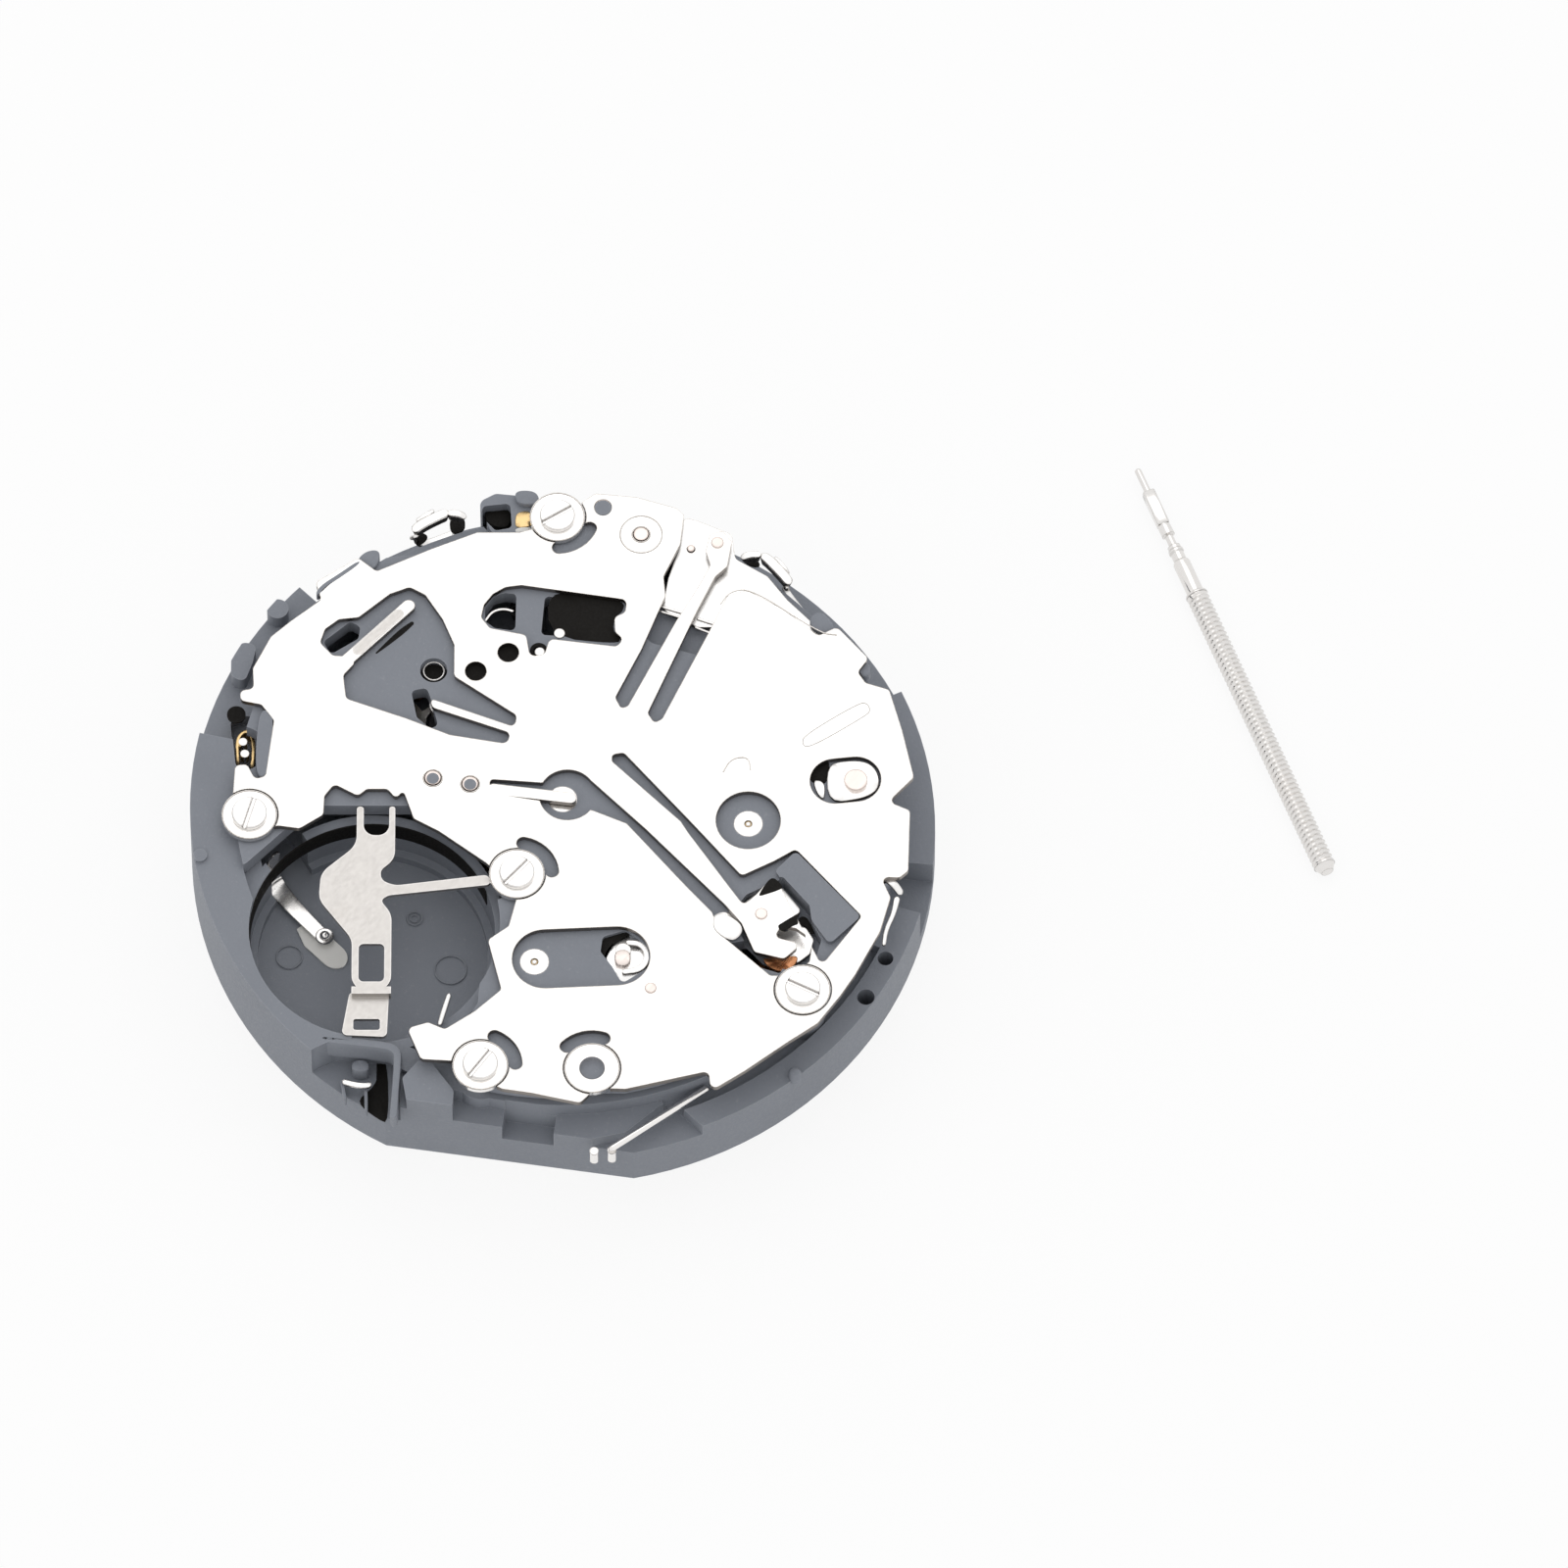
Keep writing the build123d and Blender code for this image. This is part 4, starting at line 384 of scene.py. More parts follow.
@dataclass(frozen=True)
class Finish:
    """A surface finish: a name, a colour, how rough it is and how that roughness follows a mask."""

    name: str
    colour: Colour
    roughness: float
    mask_span: tuple[float, float] = (0.3, 0.7)
    rough_shares: tuple[float, float] = (0.85, 1.2)

    def start(self) -> tuple[bpy.types.Material, Board, bpy.types.Node, bpy.types.NodeOutputs]:
        """Makes the material with its shader and the object's own coordinates.

        Returns:
            The material, its board, the shader and the coordinates.
        """
        material = bpy.data.materials.new(self.name)
        board = blank(material)
        shader = board.add("ShaderNodeBsdfPrincipled")
        board.add("ShaderNodeOutputMaterial", {0: shader.outputs[0]})
        return material, board, shader, board.add("ShaderNodeTexCoord").outputs

    def uneven(self, board: Board, mask: Socket) -> Socket:
        """The roughness, which goes between two shares of itself as the mask goes over its span."""
        return board.spread(mask, *self.mask_span, *(share * self.roughness for share in self.rough_shares))


@dataclass(frozen=True)
class Metal(Finish):
    """Bare or plated metal with rolling lines, upright sides darkened as painted shade, edges tinted with
    painted shade where the edge colour is dark and painted highlights where it is pale, and faint marks.
    """

    # Darker colour of upright sides: painted shade
    side: Colour = (0.2, 0.17, 0.14)
    side_share: float = 0.0
    side_onset: float = 0.35
    stain: Colour = (0.8, 0.7, 0.62)
    stain_share: float = 0.1
    stain_scale: float = 420.0
    stain_threshold: float = 0.52
    stain_roughness: float = 0.05
    # Colour of edges: painted shade where it is dark, a painted highlight where it is pale
    edge: Colour = (0.1, 0.07, 0.05)
    edge_share: float = 0.0
    edge_radius: float = 9e-5
    edge_gain: float = 9.0
    line_scale: float = 9000.0
    line_stretch: float = 0.05
    line_turn: float = 0.5
    grain_scale: float = 27000.0
    grain_contrast: float = 1.5
    grain_share: float = 0.4
    relief: float = 2e-7
    coat: float = 0.0

    def material(self) -> bpy.types.Material:
        """Builds the material.

        Returns:
            The material.
        """
        material, board, shader, place = self.start()
        spot = place["Object"]
        lines = board.effect(Effects.rolled(), spot, Scale=self.line_scale, Stretch=self.line_stretch,
                             Turn=self.line_turn)
        grain = board.effect(Effects.grain(), spot, Scale=self.grain_scale, Contrast=self.grain_contrast)
        cloud = board.effect(Effects.cloudy(), spot, Scale=self.stain_scale, Threshold=self.stain_threshold)
        colour = board.tint(cloud, self.stain_share, self.colour, self.stain)
        # Upright sides darkened towards the side colour: painted shade
        if self.side_share:
            upright = board.effect(Effects.shaded_sides(), place["Normal"], Onset=self.side_onset)
            colour = board.tint(upright, self.side_share, colour, self.side)
        # Edges tinted towards the edge colour: painted shade where it is dark, a painted highlight where it
        # is pale
        if self.edge_share:
            painted_edges = board.effect(Effects.painted_edges(), spot, Radius=self.edge_radius, Gain=self.edge_gain)
            colour = board.tint(painted_edges, self.edge_share, colour, self.edge)
        marks = board.maths("MULTIPLY", cloud, self.stain_roughness)
        height = board.maths("ADD", lines, board.maths("MULTIPLY", grain, self.grain_share))
        bump = board.add("ShaderNodeBump", {"Strength": 1.0, "Distance": self.relief, "Height": height})
        board.feed(shader, {
            "Base Color": colour, "Metallic": 1.0, "Coat Weight": self.coat, "Normal": bump.outputs[0],
            "Roughness": board.maths("ADD", self.uneven(board, lines), marks)})
        return material


@dataclass(frozen=True)
class Moulded(Finish):
    """Moulded plastic: a spark-eroded grain, pale speckles, edges painted paler as highlights."""

    mask_span: tuple[float, float] = (0.2, 0.8)
    rough_shares: tuple[float, float] = (0.85, 1.15)
    speckle: Colour = (0.3, 0.31, 0.33)
    speckle_share: float = 0.55
    speckle_size: float = 1.6
    speckle_threshold: float = 0.6
    cloud_scale: float = 260.0
    cloud_threshold: float = 0.5
    cloud_share: float = 0.5
    cloud_drop_share: float = 0.86
    # Paler colour of edges: a painted highlight
    edge: Colour = (0.4, 0.41, 0.44)
    edge_share: float = 0.35
    edge_radius: float = 6e-5
    edge_gain: float = 3.0
    grain_scale: float = 9500.0
    grain_contrast: float = 2.0
    bump_strength: float = 0.6
    relief: float = 7e-6
    gloss: float = 0.4

    def material(self) -> bpy.types.Material:
        """Builds the material.

        Returns:
            The material.
        """
        material, board, shader, place = self.start()
        spot = place["Object"]
        grain = board.effect(Effects.grain(), spot, Scale=self.grain_scale, Contrast=self.grain_contrast)
        fleck = board.effect(Effects.cloudy(), spot, Scale=self.grain_scale / self.speckle_size,
                             Threshold=self.speckle_threshold)
        cloud = board.effect(Effects.cloudy(), spot, Scale=self.cloud_scale, Threshold=self.cloud_threshold)
        painted_edges = board.effect(Effects.painted_edges(), spot, Radius=self.edge_radius, Gain=self.edge_gain)
        colour = board.tint(fleck, self.speckle_share, self.colour, self.speckle)
        darker = tuple(self.cloud_drop_share * v for v in self.colour)
        colour = board.tint(cloud, self.cloud_share, colour, darker)
        # Edges tinted paler: a painted highlight
        colour = board.tint(painted_edges, self.edge_share, colour, self.edge)
        bump = board.add("ShaderNodeBump", {
            "Strength": self.bump_strength, "Distance": self.relief, "Height": grain})
        board.feed(shader, {
            "Base Color": colour, "Roughness": self.uneven(board, grain), "Specular IOR Level": self.gloss,
            "Normal": bump.outputs[0]})
        return material


# Side colours below are painted shade; edge colours are painted shade where dark and painted highlights
# where pale
FINISHES: dict[str, Finish] = {
    "grey_plastic": Moulded("grey_moulding", (0.225, 0.24, 0.272), 0.6, speckle=(0.36, 0.37, 0.4),
                            edge=(0.5, 0.52, 0.56)),
    "bright_steel": Metal("plated_sheet", (0.95, 0.935, 0.915), 0.34, side=(0.12, 0.1, 0.085),
                          side_share=0.85, edge=(0.14, 0.09, 0.05), edge_share=0.75, stain_share=0.16,
                          stain=(0.93, 0.84, 0.76)),
    "screw_steel": Metal("screw_steel", (0.9, 0.88, 0.86), 0.2, edge_share=0.9, edge=(0.07, 0.055, 0.05)),
    "rivet_steel": Metal("rivet_steel", (0.85, 0.765, 0.72), 0.42, edge_share=0.8, edge=(0.2, 0.13, 0.1)),
    "pillar_steel": Metal("pillar_steel", (0.92, 0.9, 0.88), 0.16, edge_share=0.5, edge=(0.16, 0.13, 0.11)),
    "lever_steel": Metal("lever_steel", (0.93, 0.915, 0.9), 0.3, side=(0.045, 0.035, 0.028),
                         side_share=0.95, edge=(0.12, 0.09, 0.06), edge_share=0.7),
    "clamp_steel": Metal("clamp_steel", (0.6, 0.575, 0.55), 0.42, side=(0.34, 0.32, 0.3), side_share=0.6,
                         edge=(0.9, 0.88, 0.86), edge_share=0.6, line_stretch=0.5),
    "brass": Metal("brass", (0.74, 0.53, 0.26), 0.26, edge=(0.35, 0.22, 0.1), edge_share=0.4),
    "arbor_steel": Metal("arbor_steel", (0.78, 0.76, 0.74), 0.14, edge=(0.1, 0.09, 0.08), edge_share=0.4),
    "white_plastic": Moulded("white_moulding", (0.78, 0.77, 0.74), 0.5, speckle=(0.85, 0.85, 0.83),
                             edge=(0.88, 0.88, 0.86), relief=1.5e-6),
    "magnet": Moulded("sintered_magnet", (0.045, 0.045, 0.05), 0.45, speckle=(0.12, 0.12, 0.13),
                      edge=(0.2, 0.2, 0.21)),
    "soft_iron": Metal("soft_iron", (0.6, 0.58, 0.55), 0.36, side=(0.2, 0.19, 0.18), side_share=0.5,
                       edge=(0.85, 0.83, 0.8), edge_share=0.3),
    "copper_wire": Metal("enamelled_copper", (0.62, 0.27, 0.12), 0.3, relief=2e-6, coat=0.4),
    "board": Moulded("circuit_board", (0.03, 0.13, 0.07), 0.35, speckle=(0.06, 0.22, 0.12),
                     edge=(0.35, 0.3, 0.16), relief=1e-6),
    "crystal_can": Metal("tinned_can", (0.7, 0.7, 0.7), 0.22, edge=(0.3, 0.3, 0.3), edge_share=0.3),
    "chip_black": Moulded("black_resin", (0.012, 0.011, 0.01), 0.7, speckle=(0.03, 0.028, 0.025),
                          edge=(0.05, 0.045, 0.04), relief=2e-6, gloss=0.1),
}


class Wardrobe:
    """Builds each finish once and hands it out by the record's slot name."""

    @staticmethod
    @cache
    def of(slot: str) -> bpy.types.Material:
        """The finished material of a slot."""
        return FINISHES[slot].material()

    @staticmethod
    def dress_nodes() -> None:
        """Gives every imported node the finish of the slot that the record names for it."""
        slots = {part["node"]: part["material_slot"] for part in frame["record"]["subparts"]}
        for node, thing in frame["nodes"].items():
            material = Wardrobe.of(slots[node])
            if not thing.material_slots:
                thing.data.materials.append(material)
            for place in thing.material_slots:
                place.material = material
            log.info("dressed %s with %s", node, material.name)


def weave(points: Grid, closed_u: bool, closed_v: bool) -> tuple[Grid, Grid]:
    """Quads over a grid of points: each joins a point, its next one along and their next ones across.

    Args:
        points: Places, shaped rows by columns by three.
        closed_u: Whether the last row joins the first.
        closed_v: Whether the last column joins the first.
    Returns:
        The places as one list, and the quads' corners.
    """
    rows, columns = points.shape[:2]
    index = np.arange(rows * columns).reshape(rows, columns)
    if closed_u:
        index = np.vstack([index, index[:1]])
    if closed_v:
        index = np.hstack([index, index[:, :1]])
    quads = np.stack([index[:-1, :-1], index[:-1, 1:], index[1:, 1:], index[1:, :-1]], axis=-1)
    return points.reshape(-1, 3), quads.reshape(-1, 4)


@dataclass
class Piece:
    """A new piece, gathered from surfaces and then finished as one object."""

    name: str
    body: Body
    slot: Slot
    parts: list[tuple[Grid, Grid]] = field(default_factory=list)
    merge: float = 2e-7
    sliver: float = 1e-7

    def cover(self, *surfaces: Grid) -> Piece:
        """Adds surfaces of closed rings, and closes each end by a row at that end's middle.

        Args:
            surfaces: Places, shaped rings by steps by three, for each surface.
        Returns:
            The piece itself.
        """
        for rings in surfaces:
            first, last = (np.broadcast_to(end.mean(axis=1, keepdims=True), end.shape)
                           for end in (rings[:1], rings[-1:]))
            self.parts.append(weave(np.concatenate([first, rings, last]), closed_u=False, closed_v=True))
        return self

    def loop(self, *surfaces: Grid) -> Piece:
        """Adds surfaces of closed rings whose last ring joins the first."""
        self.parts += [weave(rings, closed_u=True, closed_v=True) for rings in surfaces]
        return self

    def finish(self, smooth_deg: float = 35.0) -> bpy.types.Object:
        """Makes the mesh, merges its doubles, points its faces outward and sets it on its body.

        Args:
            smooth_deg: Edges that turn by less than this are shaded smooth.
        Returns:
            The finished object.
        """
        starts = np.cumsum([0] + [len(places) for places, _ in self.parts[:-1]])
        places = np.concatenate([places for places, _ in self.parts])
        quads = np.concatenate([quads + start for (_, quads), start in zip(self.parts, starts)])
        mesh = bpy.data.meshes.new(self.name)
        mesh.from_pydata(places.tolist(), [], quads.tolist())
        work = bmesh.new()
        work.from_mesh(mesh)
        bmesh.ops.remove_doubles(work, verts=work.verts, dist=self.merge)
        bmesh.ops.dissolve_degenerate(work, dist=self.sliver, edges=work.edges)
        bmesh.ops.recalc_face_normals(work, faces=work.faces)
        work.to_mesh(mesh)
        work.free()
        mesh.shade_smooth()
        mesh.set_sharp_from_angle(angle=math.radians(smooth_deg))
        thing = bpy.data.objects.new(self.name, mesh)
        bpy.context.scene.collection.objects.link(thing)
        mesh.materials.append(Wardrobe.of(self.slot.value))
        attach(thing, self.body.value)
        log.info("made %s with %d faces on %s", self.name, len(mesh.polygons), self.body.value)
        return thing


def unit(vectors: Grid) -> Grid:
    """Vectors brought to the length one, each row by itself."""
    return vectors / np.linalg.norm(vectors, axis=-1, keepdims=True)


def circle(steps: int) -> Grid:
    """Angles once round, evenly spaced, without the last."""
    return np.linspace(0, TURN, steps, endpoint=False)


def polar(angle: Grid, reach: Grid, height: Grid) -> Grid:
    """Places at angles round the Z axis, distances from it and heights along it."""
    return np.stack(np.broadcast_arrays(reach * np.cos(angle), reach * np.sin(angle), height), axis=-1)


def oval(angle: Grid, power: float) -> Grid:
    """The reach of an oval of a power at each angle: 2 is a circle, and a high power nearly a square."""
    return (np.abs(np.cos(angle)) ** power + np.abs(np.sin(angle)) ** power) ** (-1 / power)


def turned(profile: Rows | Grid, steps: int = 48) -> Grid:
    """A turned shape: each (height, radius) of the profile carried once round the Z axis.

    Args:
        profile: Heights and radii in millimetres, one row each.
        steps: Points round the axis.
    Returns:
        Rings of places about the origin, in metres.
    """
    height, radius = np.hsplit(np.array(profile) * MM, 2)
    return polar(circle(steps), radius, height)


def laid(points: Grid, start: Grid, direction: Grid) -> Grid:
    """Points whose Z axis is laid along a direction from a start, with X as nearly up as it can be.

    Args:
        points: Places about the origin, heights along Z.
        start: Where the origin goes.
        direction: The unit vector that Z is laid along.
    Returns:
        The same points, turned and moved.
    """
    x = unit(UP - direction * np.dot(UP, direction))
    return points @ np.array([x, np.cross(direction, x), direction]) + start


def eased(points: Grid, passes: int = 3, closed: bool = False) -> Grid:
    """Corner cutting: each pass sets two points on every side, at a quarter and at three quarters.

    Args:
        points: One row for each corner, of any number of columns.
        passes: How often the corners are cut.
        closed: Whether the last point joins the first.
    Returns:
        The rounded run of points.
    """
    near, far = 0.75, 0.25
    for _ in range(passes):
        after = np.roll(points, -1, axis=0) if closed else points[1:]
        before = points if closed else points[:-1]
        cut = np.stack([near * before + far * after, far * before + near * after], axis=1)
        cut = cut.reshape(-1, points.shape[1])
        points = cut if closed else np.concatenate([points[:1], cut, points[-1:]])
    return points


def route(run: Run) -> Grid:
    """Rows of pixel, pixel, level and width in millimetres, as places and widths in metres."""
    return np.array([[*VIEW.spot(x, y, level), width * MM] for x, y, level, width in run])


def strip(path: Grid, thickness: float, across: Grid | None = None, rows: int = 56,
          square: float = 7.0) -> Grid:
    """A formed strip: an oval of a high power, nearly a rectangle, carried along a path.

    The width falls at both ends as a half circle does, so that the strip ends round.

    Args:
        path: Rows of x, y, z and width in metres, rounded by corner cutting.
        thickness: The strip's thickness in millimetres.
        across: The width's direction where it isn't level and square to the path.
        rows: Sections along the strip.
        square: The power of the section's oval.
    Returns:
        Sections of places in metres.
    """
    steps, end_share = 28, 0.05
    path = eased(path)
    step = np.linalg.norm(np.diff(path[:, :3], axis=0), axis=1)
    run = np.concatenate([[0.0], np.cumsum(step)])
    at = (1 - np.cos(np.linspace(0, math.pi, rows))) / 2 * run[-1]
    path = np.stack([np.interp(at, run, column) for column in path.T], axis=-1)
    along = unit(np.gradient(path[:, :3], at, axis=0))
    side = unit(np.cross(UP, along) if across is None else np.tile(across, (rows, 1)))
    ends = np.clip(np.minimum(at, run[-1] - at) / (path[:, 3] / 2), 0, 1)
    half = path[:, 3] / 2 * np.maximum(np.sqrt(1 - (1 - ends) ** 2), end_share)
    section = polar(circle(steps), oval(circle(steps), square), 0.0)
    flat = side[:, None] * (half[:, None] * section[:, 0])[..., None]
    tall = np.cross(along, side)[:, None] * (thickness * MM / 2 * section[:, 1])[:, None]
    return path[:, None, :3] + flat + tall


def formed(run: Run, thickness: float, rows: int = 56, square: float = 7.0) -> Grid:
    """A level strip that follows photographed points."""
    return strip(route(run), thickness, rows=rows, square=square)


def tablet(ring: Grid, low: float, high: float, edge: float) -> Grid:
    """A flat tablet: its outline at rising levels, drawn in a little at the top and the bottom.

    Args:
        ring: The outline's places in metres, one row each.
        low: The level of its underside.
        high: The level of its top.
        edge: The rounding of its edges in millimetres.
    Returns:
        Rings of places in metres.
    """
    ring = ring[:, :2]
    middle = ring.mean(axis=0)
    drawn = 1 - edge * MM / np.linalg.norm(ring - middle, axis=1).mean()
    levels = np.array([[low, drawn], [low + edge, 1.0], [high - edge, 1.0],
                       [high - edge / 3, (1 + drawn) / 2], [high, drawn]])
    flat = middle + (ring - middle)[None] * levels[:, 1, None, None]
    height = np.broadcast_to(levels[:, 0, None, None] * MM, (*flat.shape[:2], 1))
    return np.concatenate([flat, height], axis=-1)


def inlaid(ring: Ring, low: float, high: float, edge: float = 0.03, passes: int = 2) -> Grid:
    """A tablet whose top shows at photographed corners, rounded by corner cutting."""
    return tablet(eased(VIEW.spots(ring, high), passes, closed=True), low, high, edge)


def hoop(x_px: float, y_px: float, radius_px: float, level: float, wire: float, steps: int = 40,
         wire_steps: int = 10) -> Grid:
    """A closed hoop of round wire lying flat: a small circle carried round a large one.

    Args:
        x_px: Pixel of its middle across the photograph.
        y_px: Pixel of its middle down the photograph.
        radius_px: Its radius as photographed.
        level: The level of its wire's middle.
        wire: The wire's radius in millimetres.
        steps: Points along the wire.
        wire_steps: Points round the wire.
    Returns:
        Rings of places in metres.
    """
    around, about = circle(steps)[:, None], circle(wire_steps)
    reach = radius_px * PX + wire * np.cos(about)
    return polar(around, reach * MM, wire * np.sin(about) * MM) + VIEW.spot(x_px, y_px, level)


def bead(ring: Grid, radius: float, steps: int = 8) -> Grid:
    """A closed bead of round section: a small circle carried round any flat closed path.

    Args:
        ring: The path's places in metres.
        radius: The section's radius in millimetres.
        steps: Points round the section.
    Returns:
        Rings of places in metres.
    """
    outward = unit(np.cross(np.roll(ring, -1, axis=0) - np.roll(ring, 1, axis=0), UP))
    section = polar(circle(steps), radius * MM, 0.0)
    return ring[:, None] + outward[:, None] * section[:, :1] + UP * section[:, 1:2]


def button(x_px: float, y_px: float, level: float, profile: Rows | Grid, steps: int = 32) -> Grid:
    """A turned shape that stands at a photographed point.

    Args:
        x_px: Pixel across the photograph.
        y_px: Pixel down the photograph.
        level: The level that the profile's heights are counted from.
        profile: Heights and radii in millimetres, one row each.
        steps: Points round its axis.
    Returns:
        Rings of places in metres.
    """
    return turned(profile, steps) + VIEW.spot(x_px, y_px, level)


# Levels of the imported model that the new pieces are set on, in millimetres over the dial seat
PLATE_TOP, FRAME_TOP, WELL_FLOOR, HOOK_FLOOR = 4.9, 4.6, 1.31, 2.3


@dataclass
class PusherContacts:
    """The two sprung contacts that the pushers press: a formed leaf with a nub, a wing and a leg."""

    thickness: float = 0.42
    square: float = 9.0
    leg_thickness: float = 0.14
    start_leaf: Run = ((421, 543, 4.0, 0.42), (430, 536, 4.1, 0.42), (448, 527, 4.15, 0.42),
                       (456, 524, 4.1, 0.42))
    start_nub: Run = ((425, 533, 4.0, 0.2), (434, 527, 4.1, 0.22), (441, 523, 4.0, 0.2))
    start_wing: Run = ((456, 525, 4.1, 0.3), (466, 525, 4.15, 0.34), (473, 529, 4.0, 0.3))
    start_leg: Run = ((424, 546, 4.0, 0.3), (420, 549, 3.3, 0.34), (432, 556, 2.6, 0.4),
                      (452, 549, 2.5, 0.4), (470, 541, 2.6, 0.34))
    reset_leaf: Run = ((778, 568, 3.9, 0.4), (786, 574, 4.0, 0.42), (800, 589, 4.0, 0.42),
                       (806, 597, 3.9, 0.4))
    reset_nub: Run = ((791, 571, 3.9, 0.18), (799, 579, 4.0, 0.2), (804, 587, 3.9, 0.18))
    reset_wing: Run = ((776, 568, 3.95, 0.3), (766, 567, 4.0, 0.34), (757, 571, 3.9, 0.3))
    reset_leg: Run = ((803, 597, 3.9, 0.3), (801, 602, 3.5, 0.26), (812, 616, 3.1, 0.22),
                      (823, 629, 2.8, 0.2))
    # Black sheets of painted shade behind the contacts
    shades: tuple[Ring, ...] = (((457, 527), (470, 525), (474, 531), (473, 541), (459, 545)),
                                ((421, 545), (430, 542), (437, 547), (428, 556), (421, 553)),
                                ((755, 568), (762, 565), (774, 571), (776, 578), (764, 577)))
    shade_low: float = 3.1
    shade_top: float = 3.2
    shade_edge: float = 0.02

    def build(self) -> None:
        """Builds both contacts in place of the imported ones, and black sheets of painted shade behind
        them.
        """
        for name, body, leg, runs in (
                ("start", Body.START, self.start_leg, (self.start_leaf, self.start_nub, self.start_wing)),
                ("reset", Body.RESET, self.reset_leg, (self.reset_leaf, self.reset_nub, self.reset_wing))):
            piece = Piece(f"{name}_contact_formed", body, Slot.LEVER)
            piece.cover(*(formed(run, self.thickness, square=self.square) for run in runs))
            piece.cover(formed(leg, self.leg_thickness))
            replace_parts(piece.finish(), f"{name}_contact")
        shade_sheets = (inlaid(ring, self.shade_low, self.shade_top, self.shade_edge) for ring in self.shades)
        Piece("contact_painted_shade", Body.MOVEMENT, Slot.BLACK).cover(*shade_sheets).finish()


@dataclass
class NegativeSpring:
    """The cell's negative contact: a leaf bent over the well's wall, tapered, with a domed tip."""

    thickness: float = 0.1
    run: Run = ((282, 871, 3.4, 0.62), (279, 883, 2.6, 0.68), (278, 893, 1.9, 0.74), (281, 902, 1.55, 0.8),
                (289, 912, 1.5, 0.74), (306, 931, 1.5, 0.62), (334, 958, 1.5, 0.54))
    dome: tuple[float, float, float] = (333, 955, 1.56)
    collar: Rows = ((-0.06, 0.33), (0.0, 0.36), (0.04, 0.33), (0.05, 0.26))
    dome_radius: float = 0.2
    dome_rows: int = 9

    def profile(self) -> Grid:
        """The dome: a quarter circle over a small flat collar.

        Returns:
            Heights and radii in millimetres, one row each.
        """
        angle = np.linspace(0, TURN / 4, self.dome_rows)
        rise = self.collar[-1][0] + self.dome_radius * np.sin(angle)
        return np.concatenate([self.collar, np.column_stack([rise, self.dome_radius * np.cos(angle)])])

    def build(self) -> None:
        """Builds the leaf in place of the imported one."""
        path = route(self.run)
        across = np.cross(UP, path[-1, :3] - path[-3, :3])
        piece = Piece("negative_spring_formed", Body.NEGATIVE, Slot.SCREW)
        piece.cover(strip(path, self.thickness, across), button(*self.dome, self.profile(), steps=40))
        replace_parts(piece.finish(), "negative_spring")


@dataclass
class WellDetails:
    """The battery well: ejector rings, the spring's trough painted white as a reflection, a black band of
    painted shade and the locating pin.
    """

    marks: Rows = ((297, 976, 13.0), (461, 989, 16.0), (424, 937, 7.6), (424, 937, 4.0))
    mark_wire: float = 0.025
    trough: Ring = ((308, 945), (353, 985))
    trough_half: float = 0.5
    trough_bow: float = 0.03
    trough_lift: float = 0.012
    trough_sink: float = 0.05
    trough_rows: int = 40
    trough_columns: int = 24
    root_share: float = 0.4
    root_slope: float = 2.0
    straight_share: float = 0.75
    tip_share: float = 0.02
    pin: Run = ((461, 1013, 3.95, 0.22), (456, 1028, 4.0, 0.24), (451, 1045, 3.9, 0.22))
    pin_thickness: float = 0.18
    # A black band of painted shade high on the wall's far side
    centre: tuple[float, float] = (-6.54, 6.6)
    shade_band_radius: float = 4.82
    shade_band_deg: tuple[float, float] = (-60.0, 110.0)
    shade_band_steps: int = 90
    shade_band_section: Rows = ((0.0, 2.75), (-0.03, 3.1), (-0.035, 3.5), (-0.01, 3.74), (0.03, 3.74),
                            (0.03, 2.75))

    def shade_band(self) -> Grid:
        """Painted shade high on the wall's far side: a thin bowed section carried round an arc.

        Returns:
            Sections of places in metres.
        """
        angle = np.radians(np.linspace(*self.shade_band_deg, self.shade_band_steps))[:, None]
        depth, level = np.array(self.shade_band_section).T
        return (polar(angle, self.shade_band_radius + depth, level) + [*self.centre, 0.0]) * MM

    def channel(self) -> Grid:
        """The trough: a shallow bow carried along a straight run, tapered at its root, round at its tip.

        Returns:
            Sections of places in metres.
        """
        root, tip = VIEW.spots(self.trough, WELL_FLOOR)
        u, v = np.linspace(0, 1, self.trough_rows)[:, None], np.linspace(-1, 1, self.trough_columns)
        tapered = np.clip(self.root_share + self.root_slope * u, 0, 1)
        curved = np.clip((u - self.straight_share) / (1 - self.straight_share), 0, 1)
        half = self.trough_half * MM * tapered * np.sqrt(np.clip(1 - curved ** 2, self.tip_share, 1))
        across = unit(np.cross(tip - root, UP))
        top = root + (tip - root) * u[..., None] + across * (half * v)[..., None]
        top = top + UP * ((self.trough_lift + self.trough_bow * v ** 2) * MM)[..., None]
        low = top.copy()
        low[..., 2] = (WELL_FLOOR - self.trough_sink) * MM
        return np.concatenate([top, low[:, ::-1]], axis=1)

    def build(self) -> None:
        """Builds the marks, the trough with its painted reflection, the band of painted shade and the pin.
        """
        Piece("well_moulding_marks", Body.MOVEMENT, Slot.PLASTIC).loop(
            *(hoop(*mark, WELL_FLOOR, self.mark_wire) for mark in self.marks)).finish()
        # The trough's white finish is a painted reflection on the grey moulding
        Piece("spring_trough_glare", Body.MOVEMENT, Slot.WHITE).cover(self.channel()).finish()
        # Black band of painted shade
        Piece("well_shade_band", Body.MOVEMENT, Slot.BLACK).cover(self.shade_band()).finish()
        pin = formed(self.pin, self.pin_thickness, square=2.0)
        Piece("locating_pin", Body.MOVEMENT, Slot.SCREW).cover(pin).finish()


